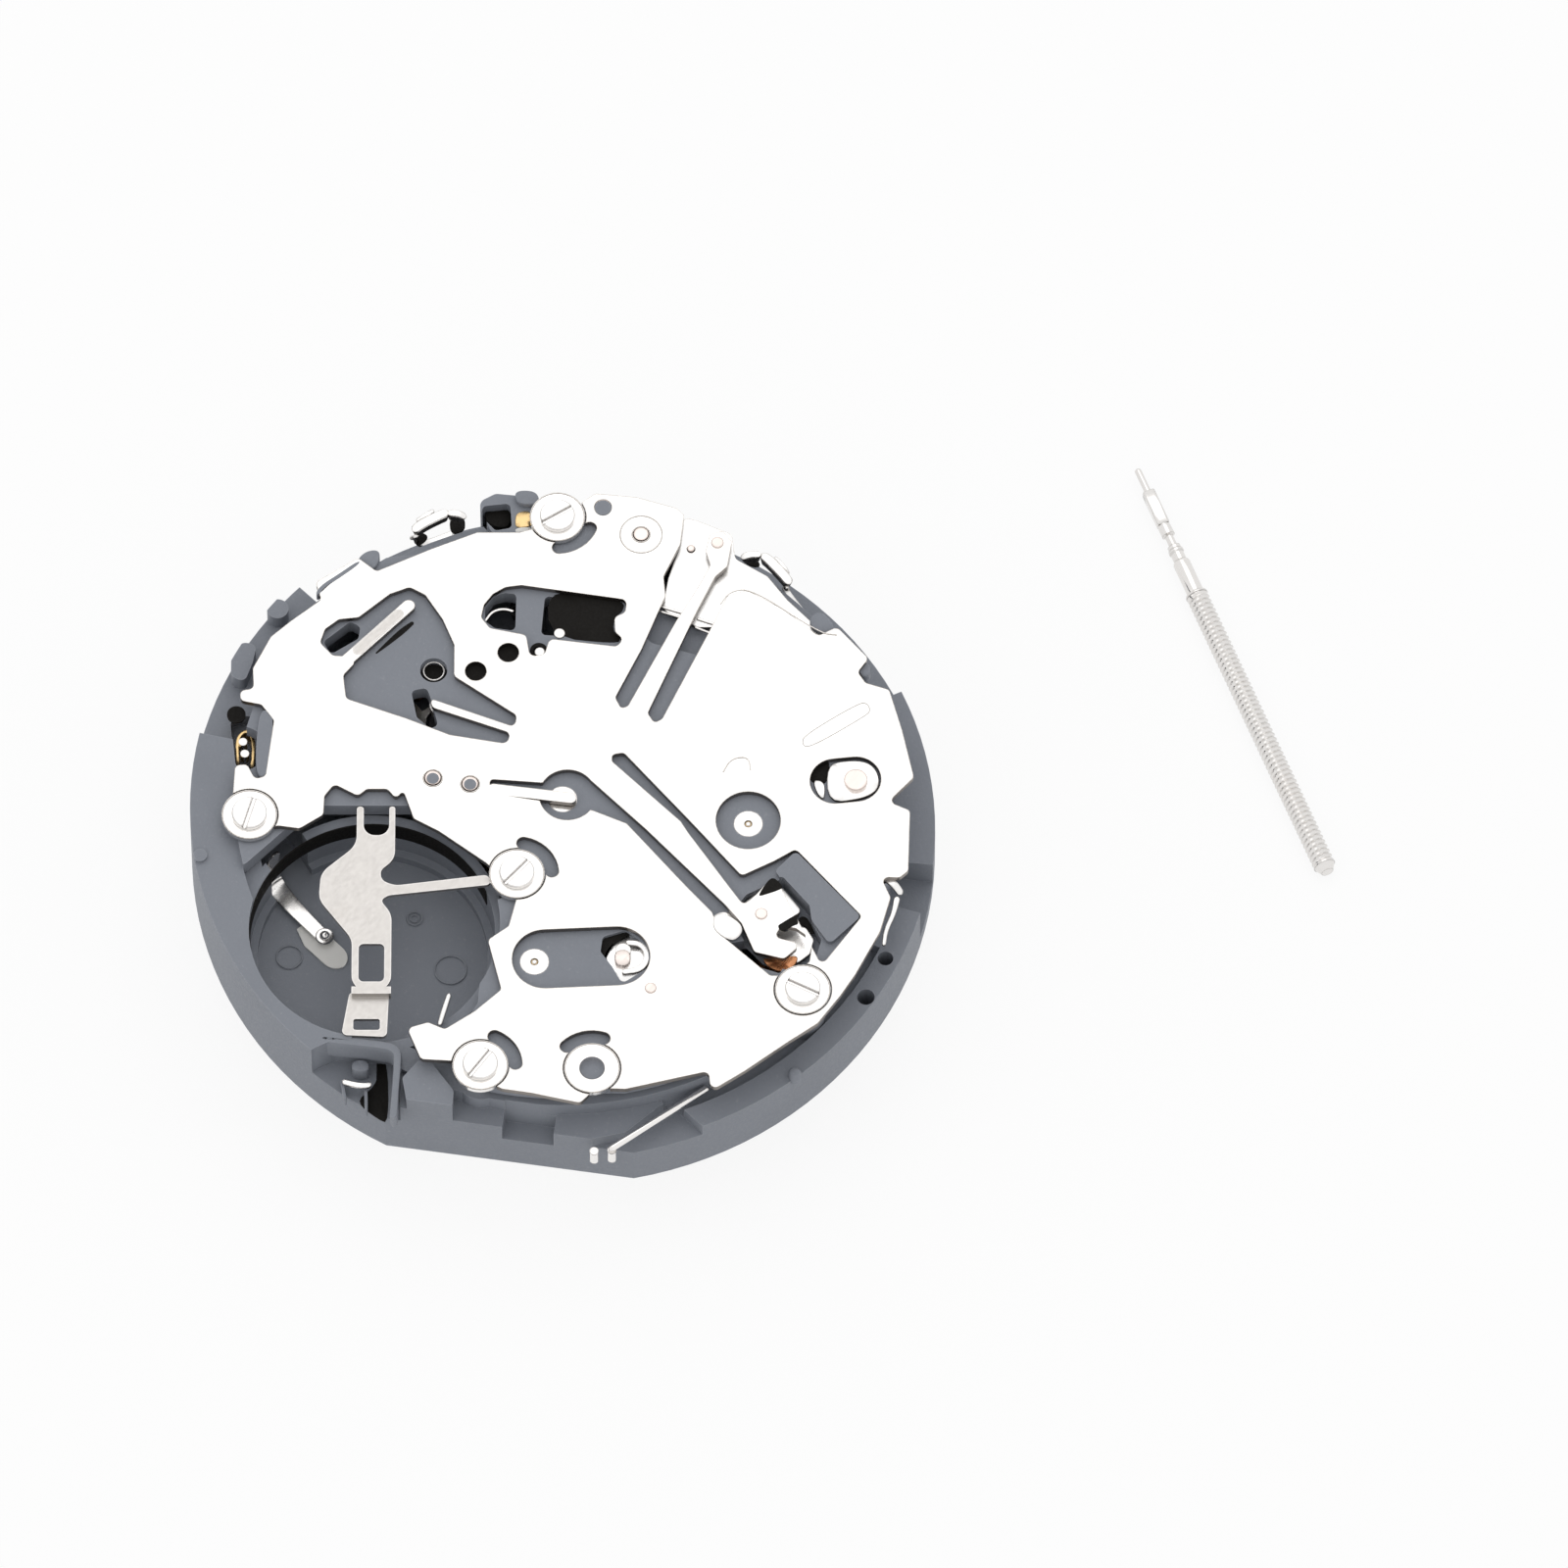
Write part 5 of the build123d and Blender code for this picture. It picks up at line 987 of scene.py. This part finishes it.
@dataclass
class HookRecess:
    """The recess under the clamp's foot: its shelf and wall, the ribs, a small block and the clip."""

    shelf: Run = ((333, 1064, 3.6, 0.34), (350, 1066, 3.6, 0.36), (388, 1070, 3.6, 0.36),
                  (409, 1074, 3.6, 0.36), (409, 1092, 3.6, 0.3), (405, 1142, 3.3, 0.3))
    shelf_thickness: float = 1.2
    ribs: tuple[Run, ...] = (((376, 1108, 2.4, 0.14), (377, 1120, 2.5, 0.14), (377, 1133, 2.6, 0.12)),
                             ((352, 1104, 2.4, 0.12), (354, 1112, 2.5, 0.12), (356, 1122, 2.6, 0.12)))
    rib_thickness: float = 0.5
    block: Ring = ((363, 1079), (379, 1079), (380, 1091), (362, 1090))
    block_top: float = 3.1
    block_edge: float = 0.06
    # A black sheet of painted shade in the recess
    shade: Ring = ((386, 1078), (398, 1078), (400, 1143), (390, 1140), (366, 1122), (381, 1110),
                   (389, 1098))
    shade_low: float = 2.27
    shade_top: float = 2.33
    shade_edge: float = 0.02
    clip: Run = ((353, 1101, 2.8, 0.26), (362, 1104, 2.85, 0.26), (374, 1106, 2.85, 0.26),
                 (382, 1104, 2.8, 0.26))
    clip_thickness: float = 0.12

    def build(self) -> None:
        """Builds the moulded forms, a black sheet of painted shade and the clip."""
        Piece("hook_recess_forms", Body.MOVEMENT, Slot.PLASTIC).cover(
            formed(self.shelf, self.shelf_thickness, rows=72),
            *(formed(rib, self.rib_thickness, rows=20) for rib in self.ribs),
            inlaid(self.block, HOOK_FLOOR, self.block_top, self.block_edge)).finish()
        shade_sheet = inlaid(self.shade, self.shade_low, self.shade_top, self.shade_edge)
        Piece("hook_recess_painted_shade", Body.MOVEMENT, Slot.BLACK).cover(shade_sheet).finish()
        clip = formed(self.clip, self.clip_thickness)
        Piece("hook_clip", Body.MOVEMENT, Slot.SCREW).cover(clip).finish()


@dataclass
class PlateDetails:
    """What shows on the steel plate: rivet collars, pressed lines and plastic plugs."""

    collars: Rows = ((443, 794, 9.6), (481, 800, 9.6), (654, 545, 9.0), (654, 545, 21.5),
                      (568.5, 527, 27.5), (257, 831, 27.5), (529, 891, 27.5), (493, 1084, 27.5),
                      (819, 1008, 27.5), (606, 1087, 27.5))
    collar_wire: float = 0.03
    lines: tuple[Run, ...] = (
        ((738, 788, 4.91, 0.05), (746, 774, 4.91, 0.05), (764, 772, 4.91, 0.05), (766, 786, 4.91, 0.05)),
        ((735, 617, 4.91, 0.05), (745, 603, 4.91, 0.05), (768, 601, 4.91, 0.05), (836, 646, 4.91, 0.05),
         (854, 648, 4.91, 0.05)))
    line_thickness: float = 0.03
    pill: Ring = ((825, 764), (818, 759), (821, 750), (877, 717), (885, 718), (888, 725), (884, 730))
    pill_wire: float = 0.02
    plugs: Rows = ((443, 794, 6.6, 4.97), (481, 800, 6.6, 4.97), (615, 517, 8.6, 4.97),
                    (606, 1087, 12.6, 4.6))
    plug_height: float = 0.4
    plug_edge: float = 0.03
    plug_hollow_share: float = 0.4

    def build(self) -> None:
        """Builds the collars with the lines, and the plugs."""
        collars = Piece("plate_collars", Body.MOVEMENT, Slot.PLATE)
        collars.loop(*(hoop(*collar, PLATE_TOP, self.collar_wire) for collar in self.collars))
        collars.cover(*(formed(line, self.line_thickness, rows=72) for line in self.lines))
        pill = eased(VIEW.spots(self.pill, PLATE_TOP), closed=True)
        collars.loop(bead(pill, self.pill_wire)).finish()
        plugs = Piece("plastic_plugs", Body.MOVEMENT, Slot.PLASTIC)
        for x_px, y_px, radius_px, top in self.plugs:
            reach = radius_px * PX
            plugs.cover(button(x_px, y_px, top, (
                (-self.plug_height, reach), (-self.plug_edge, reach), (0, reach - self.plug_edge),
                (0, self.plug_hollow_share * reach)), steps=40))
        plugs.finish()


@dataclass
class WindowDetails:
    """What shows in the plate's windows: inlaid steel parts, black sheets of painted shade, pins, rims and
    the coil.
    """

    inlays: tuple[tuple[float, float, Ring], ...] = (
        (4.58, 4.78, ((843, 781), (862, 776), (886, 777), (897, 790), (896, 806), (880, 815), (845, 819))),
        (4.58, 4.7, ((829, 796), (837, 796), (842, 801), (841, 816), (834, 811))),
        (4.2, 4.36, ((617, 966), (636, 953), (655, 951), (664, 965), (664, 986), (650, 1000), (628, 1003),
                     (622, 986))))
    hook: Run = ((640, 961, 4.5, 0.22), (656, 962, 4.5, 0.26), (663, 974, 4.5, 0.26),
                 (656, 988, 4.5, 0.26), (636, 991, 4.5, 0.2))
    hook_thickness: float = 0.14
    bent_tab: Ring = ((728, 933), (739, 930), (757, 941), (758, 951), (747, 960), (728, 948))
    tab_low: float = 4.85
    tab_top: float = 4.94
    curls: tuple[Run, ...] = (
        ((899, 899, 4.3, 0.3), (905, 896, 4.6, 0.3), (913, 903, 4.6, 0.3), (919, 912, 4.3, 0.26)),
        ((915, 915, 4.3, 0.24), (911, 932, 4.3, 0.2), (903, 948, 4.3, 0.2), (901, 964, 4.2, 0.16)))
    curl_thickness: float = 0.12
    bars: tuple[Run, ...] = (
        ((675, 619, 4.55, 0.11), (699, 626, 4.55, 0.11)),
        ((674, 624, 4.55, 0.08), (697, 631, 4.55, 0.08)),
        ((711, 631, 4.55, 0.11), (730, 637, 4.55, 0.11)),
        ((709, 640, 4.55, 0.08), (727, 647, 4.55, 0.08)),
        ((495, 634, 4.4, 0.1), (502, 624, 4.4, 0.1), (514, 621, 4.4, 0.1), (524, 624, 4.4, 0.1)))
    bar_thickness: float = 0.07
    rim: tuple[float, ...] = (443, 685, 10.5, 4.25)
    rim_wire: float = 0.045
    beads: Rows = ((571, 646, 5.5, 4.66), (551, 665, 5.0, 4.66))
    bead_shares: Rows = ((-0.08, 1.0), (-0.02, 1.0), (0.0, 0.7))
    leaf: Run = ((362, 667, 4.9, 0.44), (388, 643, 4.9, 0.44), (411, 623, 4.9, 0.42))
    leaf_thickness: float = 0.03
    coil: Ring = ((777, 975), (792, 979), (815, 972), (812, 984), (798, 991), (784, 986))
    coil_low: float = 4.2
    coil_top: float = 4.3
    # Black sheets of painted shade in the windows, each with its top level
    shade_sheets: tuple[tuple[float, Ring], ...] = (
        (4.61, ((827, 786), (836, 777), (847, 775), (845, 797), (838, 801), (826, 798))),
        (4.44, ((609, 966), (619, 955), (636, 949), (652, 949), (638, 955), (619, 967), (616, 988))),
        (4.92, ((793, 944), (797, 941), (814, 931), (817, 930), (813, 935), (815, 942), (810, 943),
                (798, 950))),
        (4.92, ((774, 914), (776, 909), (785, 896), (791, 895), (799, 904), (796, 907), (784, 911))),
        (4.62, ((558, 603), (600, 608), (637, 613), (636, 624), (626, 630), (626, 645), (634, 652),
                (629, 657), (561, 650))))
    shade_sheet_depth: float = 0.06
    shade_sheet_edge: float = 0.01
    leaf_shade: Run = ((384, 667, 4.6, 0.06), (398, 655, 4.6, 0.2), (412, 643, 4.6, 0.26),
                       (422, 635, 4.6, 0.14))
    leaf_shade_thickness: float = 0.02
    # Black discs: painted shade in holes
    hole_shades: Rows = ((519, 666, 10.5, 4.63), (486, 685, 10.5, 4.63), (443, 684, 13.0, 4.1),
                    (242, 729, 9.5, 4.0), (550, 664, 9.0, 4.62))
    hole_shares: Rows = ((-0.1, 1.0), (0.0, 1.0), (-0.02, 0.6))
    # A black sheet of painted shade in the gap at the reset lever
    lever_gap_shade: Ring = ((814, 936), (822, 933), (831, 948), (829, 954), (822, 944), (815, 943))
    gap_low: float = 4.23
    gap_top: float = 4.27
    pin: Ring = ((628, 968), (644, 967), (645, 983), (629, 984))
    pin_low: float = 4.3
    pin_top: float = 4.62
    small_pins: Rows = ((665, 1006, 6.0), (732, 553, 6.5), (777, 931, 6.5))
    small_pin_top: float = 4.96
    small_pin_height: float = 0.26
    small_pin_edge: float = 0.02
    small_pin_flat_share: float = 0.3

    def rounds(self, spots: Rows, shares: Rows) -> list[Grid]:
        """Small turned shapes of one form.

        Args:
            spots: Pixel, pixel, radius in pixels and level of each.
            shares: Heights over the level and shares of the radius, one row each.
        Returns:
            One surface for each spot.
        """
        return [button(x_px, y_px, level, np.array(shares) * [1.0, radius_px * PX])
                for x_px, y_px, radius_px, level in spots]

    def steel(self) -> None:
        """Builds the inlaid steel parts and the leaf's face."""
        steel = Piece("window_parts", Body.MOVEMENT, Slot.LEVER)
        steel.cover(*(inlaid(ring, low, high) for low, high, ring in self.inlays))
        steel.cover(formed(self.hook, self.hook_thickness))
        steel.cover(inlaid(self.bent_tab, self.tab_low, self.tab_top))
        steel.cover(*(formed(curl, self.curl_thickness, rows=40) for curl in self.curls))
        steel.cover(*(formed(bar, self.bar_thickness, rows=16) for bar in self.bars))
        steel.loop(hoop(*self.rim, self.rim_wire))
        steel.cover(*self.rounds(self.beads, self.bead_shares)).finish()
        leaf = formed(self.leaf, self.leaf_thickness)
        Piece("setting_leaf_face", Body.MOVEMENT, Slot.CLAMP).cover(leaf).finish()

    def build(self) -> None:
        """Builds the steel parts, the coil, the black sheets of painted shade and the pins."""
        self.steel()
        coil = inlaid(self.coil, self.coil_low, self.coil_top)
        Piece("coil_glimpse", Body.MOVEMENT, Slot.COPPER).cover(coil).finish()
        # Black sheets, discs and the leaf's strip: painted shade in the windows
        shade_sheets = Piece("window_painted_shade", Body.MOVEMENT, Slot.BLACK)
        shade_sheets.cover(*(inlaid(ring, top - self.shade_sheet_depth, top, self.shade_sheet_edge)
                        for top, ring in self.shade_sheets))
        shade_sheets.cover(formed(self.leaf_shade, self.leaf_shade_thickness))
        shade_sheets.cover(*self.rounds(self.hole_shades, self.hole_shares)).finish()
        # Painted shade in the lever's gap
        gap = inlaid(self.lever_gap_shade, self.gap_low, self.gap_top, self.shade_sheet_edge)
        Piece("reset_lever_gap_shade", Body.RESET_LEVER, Slot.BLACK).cover(gap).finish()
        pins = Piece("window_pins", Body.MOVEMENT, Slot.RIVET)
        pins.cover(inlaid(self.pin, self.pin_low, self.pin_top))
        for x_px, y_px, radius_px in self.small_pins:
            reach = radius_px * PX
            pins.cover(button(x_px, y_px, self.small_pin_top, (
                (-self.small_pin_height, reach), (-self.small_pin_edge, reach),
                (0, reach - self.small_pin_edge), (0, self.small_pin_flat_share * reach))))
        pins.finish()


@dataclass
class CrownBlock:
    """Beside the stem's way in: the gold contact pad, a pale bit under it and the block's round post."""

    pad: Ring = ((527, 522), (541, 520), (543, 533), (540, 537), (526, 538), (525, 530))
    pale: Ring = ((525, 538), (542, 537), (544, 543), (526, 544))
    pad_low: float = 4.36
    pad_top: float = 4.46
    pad_edge: float = 0.02
    post: Ring = ((524, 503), (530, 499), (545, 500), (550, 507), (548, 514), (528, 514))
    post_low: float = 4.2
    post_top: float = 4.7
    post_edge: float = 0.05

    def build(self) -> None:
        """Builds the pad, the pale bit and the post."""
        for name, slot, ring in (("gold_pad", Slot.BRASS, self.pad),
                                 ("pale_insulator", Slot.WHITE, self.pale)):
            pad = inlaid(ring, self.pad_low, self.pad_top, self.pad_edge)
            Piece(name, Body.MOVEMENT, slot).cover(pad).finish()
        post = inlaid(self.post, self.post_low, self.post_top, self.post_edge, passes=3)
        Piece("crown_block_post", Body.MOVEMENT, Slot.PLASTIC).cover(post).finish()


@dataclass
class FrameDetails:
    """Moulded forms that show beside the steel plate, and the steel tips of two arbors."""

    lobes: tuple[tuple[float, float, Ring], ...] = (
        (4.3, 4.75, ((363, 572), (372, 562), (385, 560), (388, 567), (384, 579), (374, 582))),
        (4.0, 4.72, ((827, 641), (826, 630), (834, 624), (843, 627), (853, 641), (844, 648))),
        (4.3, 4.88, ((265, 726), (276, 723), (281, 732), (276, 788), (269, 794), (262, 786))),
        (4.0, 4.7, ((873, 677), (880, 672), (889, 680), (886, 690), (878, 690))),
        (4.4, 4.93, ((322, 605), (327, 597), (346, 585), (366, 571), (368, 574), (348, 588), (330, 600),
                     (325, 607))))
    lobe_edge: float = 0.05
    post: tuple[float, float, float] = (811, 1091, 3.34)
    post_profile: Rows = ((-0.64, 0.25), (-0.14, 0.25), (-0.04, 0.19), (0.0, 0.08))
    # A black sheet of painted shade in the crown block's pocket
    pocket: Ring = ((494, 517), (519, 515), (521, 536), (505, 538), (494, 528))
    pocket_low: float = 2.8
    pocket_top: float = 3.9
    pocket_edge: float = 0.02
    tips: tuple[tuple[Body, float, float], ...] = ((Body.SECONDS, 0.0, -7.4), (Body.COUNTER, -7.3, 0.0))
    tip_profile: Rows = ((4.5, 0.1), (4.585, 0.1), (4.6, 0.075), (4.605, 0.03))

    def build(self) -> None:
        """Builds the lobes, a black sheet of painted shade in the crown block's pocket and the arbor tips.
        """
        lobes = Piece("frame_lobes", Body.MOVEMENT, Slot.PLASTIC)
        lobes.cover(*(inlaid(ring, low, high, self.lobe_edge, passes=3) for low, high, ring in self.lobes))
        lobes.cover(button(*self.post, self.post_profile)).finish()
        shade_band = inlaid(self.pocket, self.pocket_low, self.pocket_top, self.pocket_edge)
        Piece("crown_pocket_shade", Body.MOVEMENT, Slot.BLACK).cover(shade_band).finish()
        for body, x, y in self.tips:
            tip = turned(self.tip_profile, steps=24) + np.array([x, y, 0.0]) * MM
            Piece(f"{body.value}_tip", body, Slot.SCREW).cover(tip).finish()


@dataclass
class BrassClip:
    """The U-shaped brass contact at the left, bent round its two pins."""

    run: Run = ((244, 786, 3.2, 0.9), (243, 770, 3.2, 0.9), (244, 757, 3.2, 0.9), (252, 750, 3.2, 0.9),
                (259, 757, 3.2, 0.9), (260, 772, 3.2, 0.9), (258, 790, 3.2, 0.9))
    thickness: float = 0.16

    def build(self) -> None:
        """Builds the clip, standing on edge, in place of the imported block."""
        clip = strip(eased(route(self.run), 1), self.thickness, UP, rows=64)
        piece = Piece("contact_block_bent", Body.MOVEMENT, Slot.BRASS).cover(clip)
        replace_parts(piece.finish(), "contact_block")


@dataclass
class SettingStem:
    """The loose setting stem: pilot, square, grooved neck, hub and lip, and the cut thread."""

    tip_px: Pixel = (1164.0, 476.0)
    end_px: Pixel = (1355.0, 889.0)
    rest: float = -1.74
    pilot: Rows = ((0.0, 0.07), (0.05, 0.13), (0.1, 0.14), (1.0, 0.14), (1.14, 0.15), (1.3, 0.15))
    square_start: float = 1.14
    square_length: float = 1.6
    square_side: float = 0.5
    square_power: float = 9.0
    square_chamfer: float = 0.04
    square_end_share: float = 0.9
    square_steps: int = 48
    neck: Rows = (
        (2.6, 0.2), (2.74, 0.25), (2.9, 0.27), (3.25, 0.27), (3.3, 0.17), (3.75, 0.17), (3.8, 0.27),
        (3.95, 0.27), (3.99, 0.31), (4.1, 0.31), (4.14, 0.27), (4.5, 0.27), (4.56, 0.33), (4.62, 0.35),
        (5.95, 0.35), (6.08, 0.33), (6.11, 0.44), (6.15, 0.46), (6.21, 0.46), (6.24, 0.4))
    thread_start: float = 6.23
    thread_radius: float = 0.45
    thread_length: float = 13.1
    thread_pitch: float = 0.225
    thread_depth: float = 0.085
    flank_slope: float = 2.6
    root_flat: float = 0.15
    thread_steps: int = 28
    rows_per_pitch: int = 10
    cone_overlap: float = 0.01
    cone_step: float = 0.02
    cone_length: float = 0.3
    cone_drop: float = 0.2
    smooth_deg: float = 40.0

    def thread(self) -> Grid:
        """The thread: the radius falls by a rounded V whose phase moves one pitch per turn.

        Returns:
            Rings of places in metres about the stem's own axis.
        """
        rows = int(self.thread_length / self.thread_pitch * self.rows_per_pitch)
        along = np.linspace(0, self.thread_length, rows)[:, None]
        angle = circle(self.thread_steps)
        phase = (along / self.thread_pitch - angle / TURN) % 1
        groove = np.clip(np.abs(phase - 0.5) * self.flank_slope - self.root_flat, 0, 1)
        ends = np.clip(np.minimum(along, self.thread_length - along) / self.thread_pitch, 0, 1)
        radius = self.thread_radius - self.thread_depth * (1 - groove) * ends
        return polar(angle, radius, along + self.thread_start) * MM

    def squared(self) -> Grid:
        """The square: an oval of a high power along a straight run, with small end chamfers.

        Returns:
            Rings of places in metres about the stem's own axis.
        """
        start, stop = self.square_start, self.square_start + self.square_length
        rows = np.array([[start, self.square_end_share], [start + self.square_chamfer, 1.0],
                         [stop - self.square_chamfer, 1.0], [stop, self.square_end_share]])
        angle = circle(self.square_steps)
        reach = self.square_side / 2 * rows[:, 1:] * oval(angle, self.square_power)
        return polar(angle, reach, rows[:, :1]) * MM

    def build(self) -> None:
        """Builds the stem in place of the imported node."""
        tip, end = VIEW.spots((self.tip_px, self.end_px), self.rest)
        thread_end = self.thread_start + self.thread_length
        cone = ((thread_end - self.cone_overlap, self.thread_radius - self.cone_step),
                (thread_end + self.cone_length, self.thread_radius - self.cone_drop))
        piece = Piece("setting_stem_threaded", Body.STEM, Slot.ARBOR)
        for rings in (turned(self.pilot), self.squared(), turned(self.neck, steps=64), self.thread(),
                      turned(cone)):
            piece.cover(laid(rings, tip, unit(end - tip)))
        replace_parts(piece.finish(self.smooth_deg), "setting_stem")


@dataclass(frozen=True)
class Lamp:
    """A square soft box aimed at the movement: reach and side in metres, and a radiance of 1 is white."""

    name: str
    azimuth_deg: float
    elevation_deg: float
    reach: float
    side: float
    radiance: float

    def hang(self) -> None:
        """Makes the lamp, which the lens itself doesn't see."""
        back = Vector(bearing(self.azimuth_deg, self.elevation_deg).tolist())
        light = bpy.data.lights.new(self.name, "AREA")
        light.shape, light.size = "SQUARE", self.side
        light.energy = self.radiance * math.pi * self.side * self.side
        thing = bpy.data.objects.new(self.name, light)
        bpy.context.scene.collection.objects.link(thing)
        thing.location = back * self.reach
        thing.rotation_mode = "QUATERNION"
        thing.rotation_quaternion = back.to_track_quat("Z", "Y")
        thing.visible_camera = False


@dataclass(frozen=True)
class Studio:
    """The pale floor, the white surroundings and three soft lamps."""

    floor_level: float = -2.2
    floor_half: float = 0.9
    floor_points: int = 5
    floor_colour: Colour = (0.93, 0.93, 0.93)
    floor_lift: float = 0.86
    world_low: float = 0.5
    world_top: float = 0.95
    world_top_height: float = 0.9
    lamps: tuple[Lamp, ...] = (Lamp("mirror_panel", 98.5, 62.0, 0.32, 0.26, 0.55),
                               Lamp("left_panel", -150.0, 40.0, 0.35, 0.16, 0.5),
                               Lamp("front_panel", -60.0, 30.0, 0.4, 0.14, 0.4))

    def floor(self) -> None:
        """The floor: a flat sheet of a few squares, its faces up."""
        span = np.linspace(-self.floor_half, self.floor_half, self.floor_points)
        x, y = np.meshgrid(span, span, indexing="ij")
        sheet = np.stack([x, y, np.full_like(x, self.floor_level * MM)], axis=-1)
        places, quads = weave(sheet, closed_u=False, closed_v=False)
        mesh = bpy.data.meshes.new("studio_floor")
        mesh.from_pydata(places.tolist(), [], quads[:, ::-1].tolist())
        thing = bpy.data.objects.new("studio_floor", mesh)
        bpy.context.scene.collection.objects.link(thing)
        mesh.materials.append(self.paper())

    def paper(self) -> bpy.types.Material:
        """White paper: lit as paper, and lifted to white where the lens, metal or glass sees it.

        Returns:
            The material.
        """
        material = bpy.data.materials.new("studio_paper")
        board = blank(material)
        paper = board.add("ShaderNodeBsdfDiffuse", {"Color": (*self.floor_colour, 1.0)})
        glow = board.add("ShaderNodeEmission", {"Color": WHITE, "Strength": 1.0})
        share = board.maths("MULTIPLY", board.seen(), self.floor_lift)
        board.output("ShaderNodeOutputMaterial", share, paper, glow)
        return material

    def world(self) -> None:
        """The surroundings: light from overhead, less from the horizon, white to the lens and metal."""
        world = bpy.data.worlds.new("studio_world")
        bpy.context.scene.world = world
        board = blank(world)
        place = board.add("ShaderNodeTexCoord").outputs["Generated"]
        height = board.add("ShaderNodeSeparateXYZ", {0: place}).outputs[2]
        level = board.spread(height, 0.0, self.world_top_height, self.world_low, self.world_top)
        around = board.add("ShaderNodeBackground", {"Color": WHITE, "Strength": level})
        white = board.add("ShaderNodeBackground", {"Color": WHITE, "Strength": 1.0})
        board.output("ShaderNodeOutputWorld", board.seen(), around, white)

    def build(self) -> None:
        """Sets the floor, the surroundings and the lamps."""
        self.floor()
        self.world()
        for lamp in self.lamps:
            lamp.hang()
        log.info("set the studio")


def main() -> None:
    """Builds the scene in order and reports each piece."""
    logging.basicConfig(level=logging.INFO, format="%(name)s: %(message)s")
    bpy.context.scene.view_settings.view_transform = "Standard"
    VIEW.stand()
    Studio().build()
    Wardrobe.dress_nodes()
    for assembly in (PusherContacts(), NegativeSpring(), WellDetails(), HookRecess(), PlateDetails(),
                     WindowDetails(), FrameDetails(), CrownBlock(), BrassClip(), SettingStem()):
        assembly.build()


if __name__ == "__main__":
    main()
